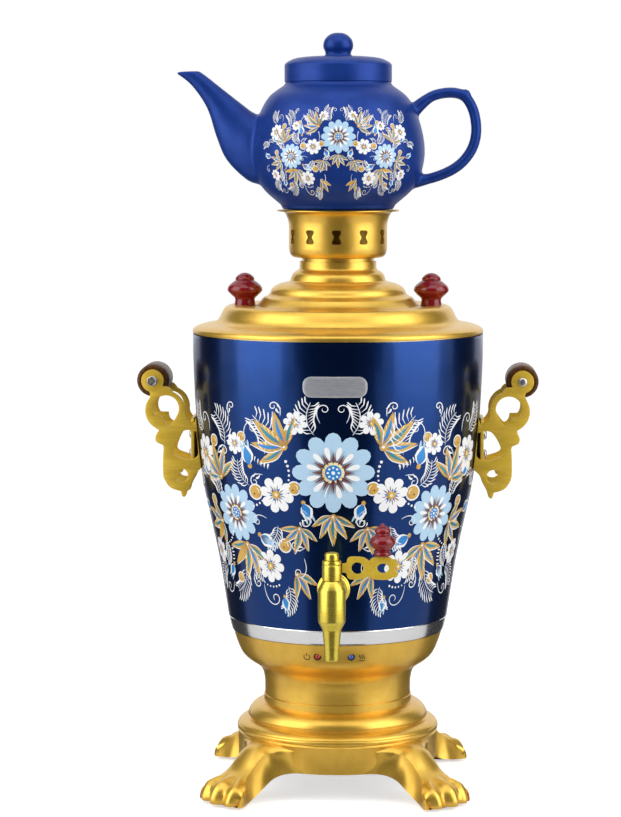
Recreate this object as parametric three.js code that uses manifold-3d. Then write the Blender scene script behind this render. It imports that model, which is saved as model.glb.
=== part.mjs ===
// A table samovar: an electric base on lion paws, a tapered kettle body with a brass tap,
// fretwork side handles, a lift-off lid, a pierced steam crown and the teapot that rides on it.
// Millimetres, +Z up, the tap towards -Y. Heights start at the underside of the foot pads.
import * as THREE from "three";
import { mergeVertices } from "three/addons/utils/BufferGeometryUtils.js";
import Module from "manifold-3d";

// Faceting: sides of the big turned pieces, of the small ones and of the thinnest
const roundSides = 24;
const smallSides = 12;
const tinySides = 8;
const curveSteps = 4;
const rollSteps = 3;
const handleSteps = 14;

// Clearances between neighbours, how far a cutting tool overruns, and the weld of equal vertices
const seatGap = 0.3;
const runningGap = 0.4;
const overrun = 4;
const weld = 0.0005;

// Cast base: collar, two rolled rings and a skirt, hollow from below
const archHeight = 19.5;
const baseTopHeight = 63.2;
const collarHeight = 5.4;
const collarRadius = 51.5;
const upperRingRadius = 62;
const skirtRadius = 70.3;
const baseWall = 2.8;
const upperRingHeight = 11;
const lowerRingHeight = 8.8;
const skirtInset = 0.9;
const webDrop = 2.2;
const webThickness = 2.6;

// Lion paws: a leg swept out of the skirt and a foot with three toes
const pawCount = 4;
const pawReach = 117.3;
const pawHalfWidth = 20.5;
const legRootHalfWidth = 27;
const legRootInset = 6;
const legTopHeight = 38;
const instepHeight = 17.4;
const toeCount = 3;
const toeGrooveWidth = 3.6;
const toeGrooveDepth = 5.2;
const toeGrooveLength = 24;
const padRadius = 7;
const padProud = 1.5;
const padRecess = 1.5;
const padInset = 16.3;

// Bottom cover, tie rod and its nut
const coverThickness = 1.5;
const coverRecess = 1;
const tieRodRadius = 3;
const nutHeight = 3.7;
const nutRadius = 5.6;

// Control bowl between the base and the kettle
const bowlHeight = 45.5;
const bowlNeckRadius = 50.9;
const bowlTopRadius = 73;
const bowlWall = 2.2;
const bowlSpigot = 2;

// Rear panel of the bowl with the mains inlet and the rocker switch
const panelWidth = 62;
const panelHeight = 25.5;
const panelReach = 74.5;
const panelWall = 2.2;
const panelTopDrop = 0.8;
const inletWidth = 26;
const inletHeight = 19;
const inletDepth = 17;
const inletWall = 1.8;
const inletFlange = 2.4;
const flangeThickness = 1.8;
const inletOffset = -12.5;
const pinWidth = 4;
const pinLength = 11;
const pinSpacing = 7;
const earthPinRise = 3.6;
const linePinDrop = 2.4;
const switchWidth = 13;
const switchHeight = 19;
const switchDepth = 14;
const switchOffset = 17.5;
const rockerDepth = 5;
const rockerProud = 1.6;
const rockerWedge = 1.5;

// Indicator lights at the front of the bowl
const lensRadius = 1.7;
const lensSpacing = 22.8;
const lensDrop = 8;
const lensProud = 0.5;
const lensLength = 9.5;
const boardWidth = 48;
const boardHeight = 12;
const boardThickness = 1.6;

// Polished band between the bowl and the kettle body
const bandHeight = 10;
const bandLowRadius = 73.6;
const bandTopRadius = 76.3;
const bandWall = 1.5;
const bandSpigot = 3.5;
const bandTuck = 3;
const bandLedge = 2.1;

// Kettle body: an outer painted shell and an inner steel tank
const bodyHeight = 195.6;
const bodyLowRadius = 76.3;
const bodyTopRadius = 100.4;
const shellWall = 1.1;
const tankWall = 1;
const tankAirGap = 5.2;
const tankLift = 10.9;
const tankCornerRadius = 3;
const tankFlangeInset = 0.8;

// Heater under the tank
const heaterPlateRadius = 60;
const heaterPlateThickness = 4;
const elementRingRadius = 42;
const elementTubeRadius = 3.4;
const elementSweepDegrees = 300;
const terminalDrop = 5;
const shieldThickness = 1.2;
const thermostatRadius = 8;
const thermostatHeight = 7;
const thermostatX = 17;
const wireRadius = 1.3;
const wireHoleRadius = 13;
const wireSteps = 9;

// Plate on the front of the body
const plateWidth = 42.7;
const plateHeight = 13.8;
const plateThickness = 0.9;
const plateDrop = 29.2;

// Tap: its shank runs level into the tank, its key turns about an upright axis
const tapStandoff = 21.6;
const shankRise = 30.4;
const shankRadius = 5.6;
const tapBodyRadius = 9.15;
const tapBodyLow = 14.7;
const tapBodyHigh = 6.4;
const tapShoulderRise = 5.1;
const tapShoulderRadius = 6.3;
const spoutShoulderRadius = 6.1;
const spoutTipRadius = 4.6;
const spoutShoulderDrop = 6.7;
const spoutLength = 20.1;
const tapBoreRadius = 3;
const keyRadius = 6.4;
const keyHeight = 13;
const keyStemRadius = 4.3;
const keyStemLength = 20;
const keyPortRadius = 2.4;
const capRadius = 4.7;
const capHeight = 5;
const rosetteRadius = 11;
const rosetteLength = 6;
const sealThickness = 1.6;
const sealRadius = 9;
const tankNutRadius = 10;
const tankNutLength = 4.5;
const shankInside = 9;
const leverLength = 36.3;
const leverHalfHeight = 7.5;
const leverThickness = 3;
const leverLift = 8.1;
const leverHoleRadius = 3.9;
const leverOvalRadius = 3.2;
const leverOvalStretch = 1.2;
const leverKnobReach = 33.1;
const knobHeight = 21.6;
const knobRadius = 8.5;

// Side handles: a fretwork bracket bent from one sheet, a wooden roller on a bolt.
// Its standoff starts at the shell, its reaches at the web, its rises at the foot, web or loop
const bracketGauge = 2.4;
const bracketSpan = 38;
const bracketStandoff = 3.95;
const webRise = 102.4;
const webHeight = 35.5;
const rollerReach = 26.3;
const rollerRise = 20.4;
const rollerRadius = 11.1;
const bossRadius = 7.8;
const loopReach = 17.6;
const loopRise = 5.1;
const loopRadius = 13.9;
const loopHoleRadius = 9.1;
const stemReach = 19.3;
const stemWidth = 6.8;
const tipReach = 5.2;
const tipDrop = 21.5;
const scrollReach = 6.8;
const scrollDrop = 4.8;
const scrollHoleRadius = 4.6;
const boltRadius = 2;
const boltHeadRadius = 3.2;
const boltHeadHeight = 1.8;
const handleNutRadius = 3.8;
const handleNutHeight = 2.6;
const spacerWidth = 24;
const screwRadius = 1.7;
const screwHeadRadius = 3.1;
const screwHeadHeight = 2.2;
const screwInside = 3.4;
const upperScrewDrop = 13;
const lowerScrewRise = 9.5;

// Lid: a pressed sheet with a rolled rim, a raised ring, a stepped dome and a flue neck
const lidHeight = 48.4;
const lidOverhang = 0.1;
const lidWall = 1.3;
const lidSealWidth = 3.4;
const lidKnobInset = 36;
const lidKnobRadius = 12.1;
const lidKnobHeight = 23;
const knobScrewRadius = 1.8;
const knobScrewHeadRadius = 4.2;
const knobScrewHeadHeight = 2;
const knobScrewLength = 11;

// Crown: a pierced cup that plugs into the lid's neck and carries the teapot
const crownHeight = 34.9;
const crownRadius = 33.9;
const crownFlangeRadius = 42.1;
const crownWall = 1.2;
const crownSpigot = 10;
const crownHoleCount = 11;
const crownHoleWidth = 6.2;
const crownHoleHeight = 9.7;
const crownHoleWaist = 3.4;
const crownHoleRise = 16.6;

// Teapot with its spout towards -X and its handle towards +X
const potHeight = 91.1;
const potRadius = 59.6;
const potWall = 3.4;
const potFootRadius = 38.6;
const potFootHeight = 2.5;
const potMouthRadius = 36.9;
const spoutBore = 3.2;
const potHandleThickness = 7.4;
const potHandleWidth = 10;
const potHandleReach = 98.2;
const potLidHeight = 29.4;
const potLidWall = 3;
const potLidSkirt = 6;

// Levels that follow from the pieces stacked on each other
const bowlZ = baseTopHeight + seatGap;
const bandZ = bowlZ + bowlHeight + seatGap;
const bodyZ = bandZ + bandHeight + seatGap;
const bodyTopZ = bodyZ + bodyHeight;
const tankTopZ = bodyTopZ + seatGap + tankWall;
const lidZ = tankTopZ + seatGap;
const crownZ = lidZ + lidHeight + seatGap;
const potZ = crownZ + crownHeight + seatGap;
const potLidZ = potZ + potHeight + seatGap;
const tankBottomZ = bodyZ + tankLift;
const heaterPlateTopZ = tankBottomZ - seatGap;
const heaterPlateZ = heaterPlateTopZ - heaterPlateThickness;
const lensHeight = bowlZ + bowlHeight - lensDrop;
const plateCentreHeight = bodyTopZ - plateDrop;
const shankHeight = bodyZ + shankRise;
const tapReach = bodyTopRadius + tapStandoff;
const lidRadius = bodyTopRadius + lidOverhang;
const lidKnobReach = lidRadius - lidKnobInset;
const padReach = pawReach - padInset;

// The samovar's axis stands behind the origin, which is the middle of the whole footprint
const axisSetback = (tapReach + tapBodyRadius - lidRadius) / 2;

// Outlines as shares of each piece's own radii and height, from its foot upwards
const bowlShares = [
  [0, 0], [0, 0.12], [0.02, 0.26], [0.09, 0.37], [0.25, 0.46],
  [0.52, 0.55], [0.75, 0.67], [0.88, 0.81], [1, 1],
];
const bodyShares = [
  [0, 0], [0.24, 0.19], [0.48, 0.333], [0.7, 0.46], [0.86, 0.61], [0.94, 0.76], [0.99, 0.9], [1, 1],
];
const lidShares = [
  [0.992, 0], [1, 0.03], [0.975, 0.09], [0.853, 0.157], [0.813, 0.243],
  [0.78, 0.37], [0.735, 0.435], [0.655, 0.45], [0.545, 0.42],
  [0.468, 0.545], [0.445, 0.625], [0.4, 0.677], [0.334, 0.715], [0.31, 0.82], [0.2645, 0.88],
];
const lidNeckShare = 0.2637;
const potShares = [
  [0.73, 0.07], [0.832, 0.131], [0.903, 0.191], [0.982, 0.312], [1, 0.42], [0.978, 0.563],
  [0.911, 0.717], [0.83, 0.822], [0.739, 0.883], [0.66, 0.93], [0.626, 0.965],
];
const knobShares = [
  [0.6, 0], [0.56, 0.14], [0.66, 0.23], [0.96, 0.38], [1, 0.48], [0.88, 0.6],
  [0.42, 0.74], [0.46, 0.83], [0.36, 0.95],
];
const capShares = [[1, 0], [1, 0.6], [0.75, 0.88]];
const rosetteShares = [[1, 0], [1, 0.35], [0.8, 0.55], [0.8, 0.8], [0.7, 1]];
const leverShares = [
  [0, 0.43], [0.08, 0.43], [0.09, 0.72], [0.17, 1], [0.36, 1], [0.45, 0.9], [0.49, 0.67],
  [0.54, 0.88], [0.66, 1], [0.84, 1], [0.9, 0.8], [0.96, 0.86], [1, 0.55], [0.965, 0.25], [0.93, 0],
];
const leverHoleShare = 0.275;
const leverOvalShare = 0.735;
const potLidShares = [
  [1, 0], [1, 0.235], [0.985, 0.28], [0.8, 0.41], [0.26, 0.455], [0.235, 0.51],
  [0.279, 0.69], [0.24, 0.86], [0.1, 0.985],
];
const potLidInsideShares = [[0, 0.318], [0.66, 0.278]];
const crownFootShare = 0.11;
const crownWallShares = [0.24, 0.7];
const legPlanShares = [
  [0, 1], [0.16, 0.72], [0.31, 0.51], [0.48, 0.42], [0.66, 0.5], [0.79, 0.66],
  [0.89, 0.76], [0.955, 0.72], [0.985, 0.5], [1, 0.2],
];
const legTopShares = [
  [0, 0.965], [0.26, 0.93], [0.4, 0.78], [0.51, 0.61], [0.64, 0.49], [0.85, 0.44],
  [0.93, 0.36], [0.985, 0.21], [1, 0.04],
];
const legArchShares = [
  [0, 0.47], [0.14, 0.47], [0.24, 0.44], [0.32, 0.31], [0.37, 0.13], [0.43, 0.04],
];

// Spout stations: upper and lower edge in the side view and half width, as shares of the pot's size
const spoutStationShares = [
  [0.62, 0.6, 0.7, 0.17, 0.29],
  [0.97, 0.726, 1.06, 0.222, 0.27],
  [1.1, 0.786, 1.29, 0.37, 0.2],
  [1.27, 0.859, 1.41, 0.545, 0.145],
  [1.42, 0.924, 1.517, 0.76, 0.11],
  [1.56, 0.983, 1.7, 0.935, 0.09],
  [1.69, 1.035, 1.896, 1.033, 0.082],
];
const potHandleShares = [
  [0.5, 0.74], [0.57, 0.815], [0.67, 0.86], [0.79, 0.875], [0.89, 0.845], [0.945, 0.75],
  [0.963, 0.64], [0.95, 0.53], [0.9, 0.405], [0.82, 0.315], [0.72, 0.255], [0.62, 0.24], [0.5, 0.245],
];

const bothSides = [-1, 1];

const wasm = await Module();
wasm.setup();

// A geometry as a solid that can be cut and joined, and back again
function solidOf(geometry) {
  const loose = geometry.index ? geometry.toNonIndexed() : geometry;
  const bare = new THREE.BufferGeometry().setAttribute("position", loose.getAttribute("position"));
  const merged = mergeVertices(bare, weld);
  return new wasm.Manifold(new wasm.Mesh({
    numProp: 3,
    vertProperties: merged.attributes.position.array,
    triVerts: new Uint32Array(merged.index.array),
  }));
}

function geometryOf(solid) {
  const mesh = solid.getMesh();
  const geometry = new THREE.BufferGeometry();
  geometry.setAttribute("position", new THREE.BufferAttribute(mesh.vertProperties, 3));
  geometry.setIndex(new THREE.BufferAttribute(mesh.triVerts, 1));
  const flat = geometry.toNonIndexed();
  flat.computeVertexNormals();
  return flat;
}

function cut(geometry, ...tools) {
  return geometryOf(tools.reduce((rest, tool) => rest.subtract(solidOf(tool)), solidOf(geometry)));
}

function join(geometry, ...others) {
  return geometryOf(others.reduce((whole, other) => whole.add(solidOf(other)), solidOf(geometry)));
}

function common(geometry, other) {
  return geometryOf(solidOf(geometry).intersect(solidOf(other)));
}

// Turned pieces: a profile of [radius, height] pairs, anticlockwise, swept about +Z
function revolve(profile, sides = roundSides) {
  const points = profile.map(([radius, height]) => new THREE.Vector2(radius, height));
  return new THREE.LatheGeometry(points, sides).rotateX(Math.PI / 2);
}

function ring(profile, sides = roundSides) {
  return revolve([...profile, profile[0]], sides);
}

function disc(radius, lowZ, highZ, sides = smallSides) {
  return revolve([[0, lowZ], [radius, lowZ], [radius, highZ], [0, highZ]], sides);
}

function scaled(shares, lowRadius, highRadius, lowZ, height) {
  return shares.map(([r, z]) => [lowRadius + r * (highRadius - lowRadius), lowZ + z * height]);
}

// A profile moved sideways by the same distance everywhere, to the left of its direction
function offset(profile, distance) {
  return profile.map(([r, z], i) => {
    const [r0, z0] = profile[Math.max(i - 1, 0)];
    const [r1, z1] = profile[Math.min(i + 1, profile.length - 1)];
    const reach = Math.hypot(r1 - r0, z1 - z0);
    return [r - (distance * (z1 - z0)) / reach, z + (distance * (r1 - r0)) / reach];
  });
}

// The hidden side of a wall needs only every other point of its outline, and both ends
function coarse(profile) {
  return profile.filter((point, i) => i % 2 === 0 || i === profile.length - 1);
}

// A wall of even gauge that follows a profile, as a closed turned ring
function sheet(profile, gauge) {
  return ring([...profile, ...offset(profile, gauge).reverse()]);
}

// A flat outline in X and Z, thick in Y, centred on the given depth
function upright(shape, thickness, centreY = 0) {
  const settings = { depth: thickness, bevelEnabled: false, curveSegments: curveSteps };
  return new THREE.ExtrudeGeometry(shape, settings)
    .rotateX(Math.PI / 2)
    .translate(0, centreY + thickness / 2, 0);
}

function outline(points) {
  return new THREE.Shape(points.map(([x, z]) => new THREE.Vector2(x, z)));
}

function box(width, depth, height, x, y, z) {
  return new THREE.BoxGeometry(width, depth, height).translate(x, y, z);
}

// A round bar along Y, between two depths
function barAlongY(radius, fromY, toY, x, z, sides = smallSides) {
  return disc(radius, 0, toY - fromY, sides).rotateX(-Math.PI / 2).translate(x, fromY, z);
}

function barAlongX(radius, fromX, toX, y, z, sides = tinySides) {
  return disc(radius, 0, toX - fromX, sides).rotateY(Math.PI / 2).translate(fromX, y, z);
}

// Closed rings of points, one after another, skinned into one closed body
function loft(rings) {
  const count = rings[0].length;
  const middles = [rings[0], rings[rings.length - 1]].map((points) =>
    points.reduce((sum, p) => sum.add(p), new THREE.Vector3()).divideScalar(count));
  const positions = [...rings.flat(), ...middles].flatMap((p) => [p.x, p.y, p.z]);
  const first = rings.length * count;
  const faces = [];
  for (let k = 0; k < count; k++) {
    const next = (k + 1) % count;
    for (let i = 0; i + 1 < rings.length; i++) {
      const a = i * count + k;
      const b = i * count + next;
      faces.push(a, b, b + count, a, b + count, a + count);
    }
    const last = (rings.length - 1) * count;
    faces.push(first, next, k, first + 1, last + k, last + next);
  }
  const geometry = new THREE.BufferGeometry();
  geometry.setAttribute("position", new THREE.Float32BufferAttribute(positions, 3));
  geometry.setIndex(faces);
  return geometry;
}

// The kettle body's outline, its radius at a height, and a plug of its inside or outside
const bodyProfile = scaled(bodyShares, bodyLowRadius, bodyTopRadius, bodyZ, bodyHeight);

// The radius of a rising outline at a height
function radiusOn(profile, z) {
  const above = Math.max(profile.findIndex(([, height]) => height > z), 1);
  const [r0, z0] = profile[above - 1];
  const [r1, z1] = profile[above];
  return r0 + ((r1 - r0) * (z - z0)) / (z1 - z0);
}

function bodyRadiusAt(z) {
  return radiusOn(bodyProfile, z);
}

function bodyPlug(clearance) {
  const sides = bodyProfile.map(([r, z]) => [r + clearance, z]);
  return revolve([[0, bodyZ], ...sides, [0, bodyTopZ]]);
}

// Places on the side handles that follow from the shell and the web
const webLowHeight = bodyZ + webRise;
const webTopHeight = webLowHeight + webHeight;
const bracketFaceX = bodyRadiusAt((webLowHeight + webTopHeight) / 2) + bracketStandoff;
const loopX = bracketFaceX + loopReach;
const loopHeight = webTopHeight + loopRise;
const rollerX = bracketFaceX + rollerReach;
const rollerHeight = loopHeight + rollerRise;
const stemX = bracketFaceX + stemReach;
const bracketTipX = bracketFaceX + tipReach;
const bracketTipHeight = webLowHeight - tipDrop;
const scrollHoleX = bracketFaceX + scrollReach;
const scrollHoleHeight = webLowHeight - scrollDrop;
const upperScrewHeight = webTopHeight - upperScrewDrop;
const lowerScrewHeight = webLowHeight + lowerScrewRise;

// Base casting: turned shell with a web under the collar, four legs joined on
const collarZ = baseTopHeight - collarHeight;
const upperRingZ = collarZ - upperRingHeight;
const lowerRingZ = upperRingZ - lowerRingHeight;
const webTopZ = baseTopHeight - webDrop;
const webZ = webTopZ - webThickness;
const coverZ = archHeight + coverRecess;

function quarterRoll(innerRadius, outerRadius, topZ, height) {
  const points = [];
  for (let step = 0; step <= rollSteps; step++) {
    const turn = (Math.PI / 2) * (step / rollSteps);
    points.push([
      innerRadius + (outerRadius - innerRadius) * Math.sin(turn),
      topZ - height * (1 - Math.cos(turn)),
    ]);
  }
  return points.reverse();
}

function baseShell() {
  const wallRadius = skirtRadius - skirtInset;
  const outside = [
    [wallRadius, archHeight],
    [wallRadius, lowerRingZ - skirtInset],
    ...quarterRoll(upperRingRadius, skirtRadius, upperRingZ - skirtInset, lowerRingHeight - skirtInset),
    ...quarterRoll(collarRadius, upperRingRadius, collarZ, upperRingHeight - skirtInset),
    [collarRadius, baseTopHeight],
  ];
  const inside = [
    [collarRadius - baseWall, baseTopHeight],
    [collarRadius - baseWall, webTopZ],
    [tieRodRadius + seatGap, webTopZ],
    [tieRodRadius + seatGap, webZ],
    [collarRadius - baseWall, webZ],
    [upperRingRadius - baseWall, upperRingZ],
    [wallRadius - baseWall, lowerRingZ],
    [wallRadius - baseWall, archHeight],
  ];
  return ring([...outside, ...inside]);
}

// One leg along +X: its side view and its plan, each drawn through, and what both share
const legRoot = skirtRadius - legRootInset;
const legLength = pawReach - legRoot;
const soleZ = padProud;

function leg() {
  const alongTop = legTopShares.map(([s, z]) => [legRoot + s * legLength, z * legTopHeight]);
  const underArch = legArchShares.map(([s, z]) => [legRoot + s * legLength, z * legTopHeight]);
  const side = outline([...alongTop, ...underArch.reverse()]);
  const halfPlan = legPlanShares.map(([s, w]) => [legRoot + s * legLength, w * legRootHalfWidth]);
  const plan = outline([...halfPlan, ...halfPlan.map(([s, w]) => [s, -w]).reverse()]);
  const sideSolid = upright(side, 2 * (legRootHalfWidth + overrun));
  const planSolid = new THREE.ExtrudeGeometry(plan, { depth: legTopHeight + overrun, bevelEnabled: false });
  const soleTool = box(legLength + overrun, 4 * pawHalfWidth, overrun,
    pawReach - legLength / 2, 0, soleZ - overrun / 2);
  return cut(common(sideSolid, planSolid), soleTool, ...toeGrooves(), padSeat());
}

// The grooves between the toes: wedges that deepen down the front of the paw
function toeGrooves() {
  const toePitch = (2 * pawHalfWidth) / toeCount;
  const wedge = outline([
    [0, -toeGrooveDepth], [toeGrooveWidth / 2, overrun], [-toeGrooveWidth / 2, overrun],
  ]);
  const grooveZ = (instepHeight + toeGrooveDepth) / 2;
  const grooves = [];
  for (let toe = 1; toe < toeCount; toe++) {
    const groove = upright(wedge, toeGrooveLength, 0)
      .rotateZ(Math.PI / 2)
      .rotateY(Math.PI / 4)
      .translate(pawReach - toeGrooveDepth / 2, (toe - toeCount / 2) * toePitch, grooveZ);
    grooves.push(groove);
  }
  return grooves;
}

function padSeat() {
  return disc(padRadius + seatGap, soleZ - overrun, soleZ + padRecess).translate(padReach, 0, 0);
}

const pawTurns = Array.from({ length: pawCount }, (_, i) => (Math.PI / pawCount) * (2 * i + 1));

function baseCasting() {
  const bore = disc(skirtRadius - skirtInset - baseWall, -overrun, upperRingZ, roundSides);
  const legs = pawTurns.map((turn) => cut(leg(), bore).rotateZ(turn));
  return join(baseShell(), ...legs);
}

function footPad() {
  return disc(padRadius, 0, soleZ + padRecess - seatGap);
}

function baseCover() {
  const rim = skirtRadius - skirtInset - baseWall - 2 * seatGap;
  const hole = tieRodRadius + seatGap;
  return ring([
    [hole, coverZ], [rim, coverZ], [rim, coverZ + coverThickness], [hole, coverZ + coverThickness],
  ]);
}

function tieRod() {
  return disc(tieRodRadius, coverZ - nutHeight - seatGap * 2, heaterPlateZ - seatGap, tinySides);
}

function hexNut(flatRadius, boreRadius, height) {
  const hexagon = new THREE.CylinderGeometry(flatRadius, flatRadius, height, 6).rotateX(Math.PI / 2);
  return cut(hexagon, disc(boreRadius, -height, height, smallSides));
}

// Control bowl: its sheet with a spigot into the base collar, and the flat panel at the rear
const bowlProfile = scaled(bowlShares, bowlNeckRadius, bowlTopRadius, bowlZ, bowlHeight);
const panelTopZ = bowlZ + bowlHeight - panelTopDrop;
const panelZ = panelTopZ - panelHeight / 2;
const panelInside = panelReach - panelWall;

function bowlInside() {
  const inside = offset(bowlProfile, bowlWall);
  inside[inside.length - 1][1] = bowlZ + bowlHeight;
  return inside;
}

function controlBowl() {
  const spigotRadius = collarRadius - baseWall - seatGap;
  const inner = bowlInside();
  const wall = ring([
    [spigotRadius, bowlZ - bowlSpigot],
    [spigotRadius, bowlZ],
    ...bowlProfile,
    ...inner.slice(1).reverse(),
    [spigotRadius - bowlWall, bowlZ - bowlSpigot],
  ]);
  const hollow = revolve([[0, bowlZ - overrun], ...inner, [0, bowlZ + bowlHeight]]);
  const block = box(panelWidth, panelReach, panelHeight, 0, panelReach / 2, panelZ);
  const pocket = box(panelWidth - 2 * panelWall, panelReach, panelHeight - 2 * panelWall,
    0, panelReach / 2 - panelWall, panelZ);
  const panel = cut(block, pocket, hollow);
  const fittings = [
    panelHole(inletWidth, inletHeight, inletOffset), panelHole(switchWidth, switchHeight, switchOffset),
  ];
  return cut(join(wall, panel), panelPassage(), ...fittings, ...lensHoles());
}

// The way from inside the bowl into the panel's pocket
function panelPassage() {
  const width = panelWidth - 2 * panelWall;
  return box(width, panelInside / 2, panelHeight - 2 * panelWall, 0, panelInside * 0.75, panelZ);
}

// A hole through the panel for a fitting of this size
function panelHole(width, height, x) {
  return box(width + 2 * seatGap, panelReach, height + 2 * seatGap, x, panelReach, panelZ);
}

const lensX = lensSpacing / 2;
const lensFaceY = -Math.sqrt(radiusOn(bowlProfile, lensHeight) ** 2 - lensX ** 2) - lensProud;
const boardY = lensFaceY + lensLength + seatGap + boardThickness / 2;

function lensHoles() {
  return bothSides.map((side) =>
    barAlongY(lensRadius + seatGap, lensFaceY - overrun, boardY, side * lensX, lensHeight, tinySides));
}

function indicatorLens(side) {
  return barAlongY(lensRadius, lensFaceY, lensFaceY + lensLength, side * lensX, lensHeight, tinySides);
}

function indicatorBoard() {
  return box(boardWidth, boardThickness, boardHeight, 0, boardY, lensHeight);
}

// Mains inlet: a socket behind a flange, with three pins standing on its floor
function powerInlet() {
  const flangeY = panelReach + seatGap + flangeThickness / 2;
  const rim = 2 * inletFlange;
  const flange = box(inletWidth + rim, flangeThickness, inletHeight + rim, 0, flangeY, 0);
  const shellY = panelReach - (inletDepth - seatGap) / 2;
  const shell = box(inletWidth, inletDepth + seatGap, inletHeight, 0, shellY, 0);
  const socketDepth = inletDepth + flangeThickness + seatGap;
  const socket = box(inletWidth - 2 * inletWall, socketDepth, inletHeight - 2 * inletWall,
    0, panelReach - inletDepth / 2 + inletWall + flangeThickness / 2 + seatGap, 0);
  return cut(join(shell, flange), socket).translate(inletOffset, 0, panelZ);
}

function inletPin(x, z) {
  const floorY = panelReach - inletDepth + inletWall + seatGap * 2;
  return box(pinWidth / 2, pinLength, pinWidth, inletOffset + x, floorY + pinLength / 2, panelZ + z);
}

// Rocker switch: a frame in the panel and a rocker that tips about a level axis
function switchHousing() {
  const flangeY = panelReach + seatGap + flangeThickness / 2;
  const flange = box(switchWidth + inletFlange, flangeThickness, switchHeight + inletFlange, 0, flangeY, 0);
  const shellY = panelReach - (switchDepth - seatGap) / 2;
  const shell = box(switchWidth, switchDepth + seatGap, switchHeight, 0, shellY, 0);
  const mouth = box(switchWidth - 2 * inletWall, rockerDepth * 2, switchHeight - 2 * inletWall,
    0, panelReach + flangeThickness, 0);
  return cut(join(shell, flange), mouth).translate(switchOffset, 0, panelZ);
}

function switchRocker() {
  const halfHeight = switchHeight / 2 - inletWall - runningGap * 3;
  const faceY = panelReach + flangeThickness + rockerProud;
  const backY = panelReach + flangeThickness - rockerDepth + rockerWedge + runningGap;
  const profile = new THREE.Shape([
    new THREE.Vector2(backY, 0),
    new THREE.Vector2(backY + rockerWedge, -halfHeight),
    new THREE.Vector2(faceY - rockerWedge, -halfHeight),
    new THREE.Vector2(faceY - rockerWedge / 3, 0),
    new THREE.Vector2(faceY, halfHeight),
    new THREE.Vector2(backY + rockerWedge, halfHeight),
  ]);
  const width = switchWidth - 2 * inletWall - 2 * runningGap;
  return new THREE.ExtrudeGeometry(profile, { depth: width, bevelEnabled: false })
    .rotateX(Math.PI / 2)
    .rotateZ(Math.PI / 2)
    .translate(switchOffset - width / 2, 0, panelZ);
}

// Polished band: a thin stepped ring with a spigot down into the bowl and one up into the shell
function trimBand() {
  const lowSpigot = radiusOn(bowlInside(), bandZ - bandTuck) - seatGap;
  const topSpigot = bodyLowRadius - shellWall - seatGap;
  const ledgeZ = bandZ + bandLedge;
  return ring([
    [lowSpigot, bandZ - bandTuck],
    [lowSpigot, bandZ],
    [bandLowRadius, bandZ],
    [bandTopRadius, bandZ + bandHeight],
    [topSpigot, bandZ + bandHeight],
    [topSpigot, bandZ + bandHeight + bandSpigot],
    [topSpigot - bandWall, bandZ + bandHeight + bandSpigot],
    [topSpigot - bandWall, bandZ + bandHeight - bandLedge],
    [bandLowRadius - bandWall, ledgeZ],
    [lowSpigot - bandWall, ledgeZ],
    [lowSpigot - bandWall, bandZ - bandTuck],
  ]);
}

function bodyShell() {
  const inside = coarse(bodyProfile).map(([r, z]) => [r - shellWall, z]).reverse();
  const holes = [
    barAlongY(shankRadius + seatGap, -bodyTopRadius, 0, 0, shankHeight),
    ...[upperScrewHeight, lowerScrewHeight].map((z) =>
      barAlongX(screwRadius + seatGap, -bodyTopRadius - overrun, bodyTopRadius + overrun, 0, z)),
  ];
  return cut(ring([...bodyProfile, ...inside]), ...holes);
}

// Tank: it hangs by its flange on the shell's top edge and follows the shell inside
function tankOutline() {
  const inset = shellWall + tankAirGap;
  const straight = bodyProfile.filter(([, z]) => z > tankBottomZ + tankCornerRadius);
  const wall = straight.map(([r, z]) => [r - inset, z]);
  const lowRadius = bodyRadiusAt(tankBottomZ + tankCornerRadius) - inset;
  const corner = quarterRoll(0, tankCornerRadius, 0, tankCornerRadius)
    .map(([r, drop]) => [lowRadius - tankCornerRadius + r, tankBottomZ - drop])
    .reverse();
  return [...corner, ...wall];
}

function innerTank() {
  const outside = tankOutline();
  const mouthRadius = bodyTopRadius - shellWall - tankAirGap;
  const flangeRadius = bodyTopRadius - tankFlangeInset;
  const inside = coarse(outside).map(([r, z]) => [r - tankWall, z]);
  inside[0] = [outside[0][0], tankBottomZ + tankWall];
  inside[inside.length - 1][1] = tankTopZ;
  const shape = [
    [0, tankBottomZ],
    ...outside.slice(0, -1),
    [mouthRadius, tankTopZ - tankWall],
    [flangeRadius, tankTopZ - tankWall],
    [flangeRadius, tankTopZ],
    ...inside.reverse(),
    [0, tankBottomZ + tankWall],
  ];
  return cut(revolve(shape), barAlongY(shankRadius + seatGap, -bodyTopRadius, 0, 0, shankHeight));
}

// Heater: a plate under the tank, a sheathed element under the plate and a shield on the band's ledge
function heaterPlate() {
  return disc(heaterPlateRadius, heaterPlateZ, heaterPlateTopZ, roundSides);
}

const elementZ = heaterPlateZ - seatGap - elementTubeRadius;

function elementEnd(side) {
  const turn = Math.PI / 2 + side * (Math.PI - (elementSweepDegrees / 2) * THREE.MathUtils.DEG2RAD);
  return new THREE.Vector3(elementRingRadius * Math.cos(turn), elementRingRadius * Math.sin(turn), elementZ);
}

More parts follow.
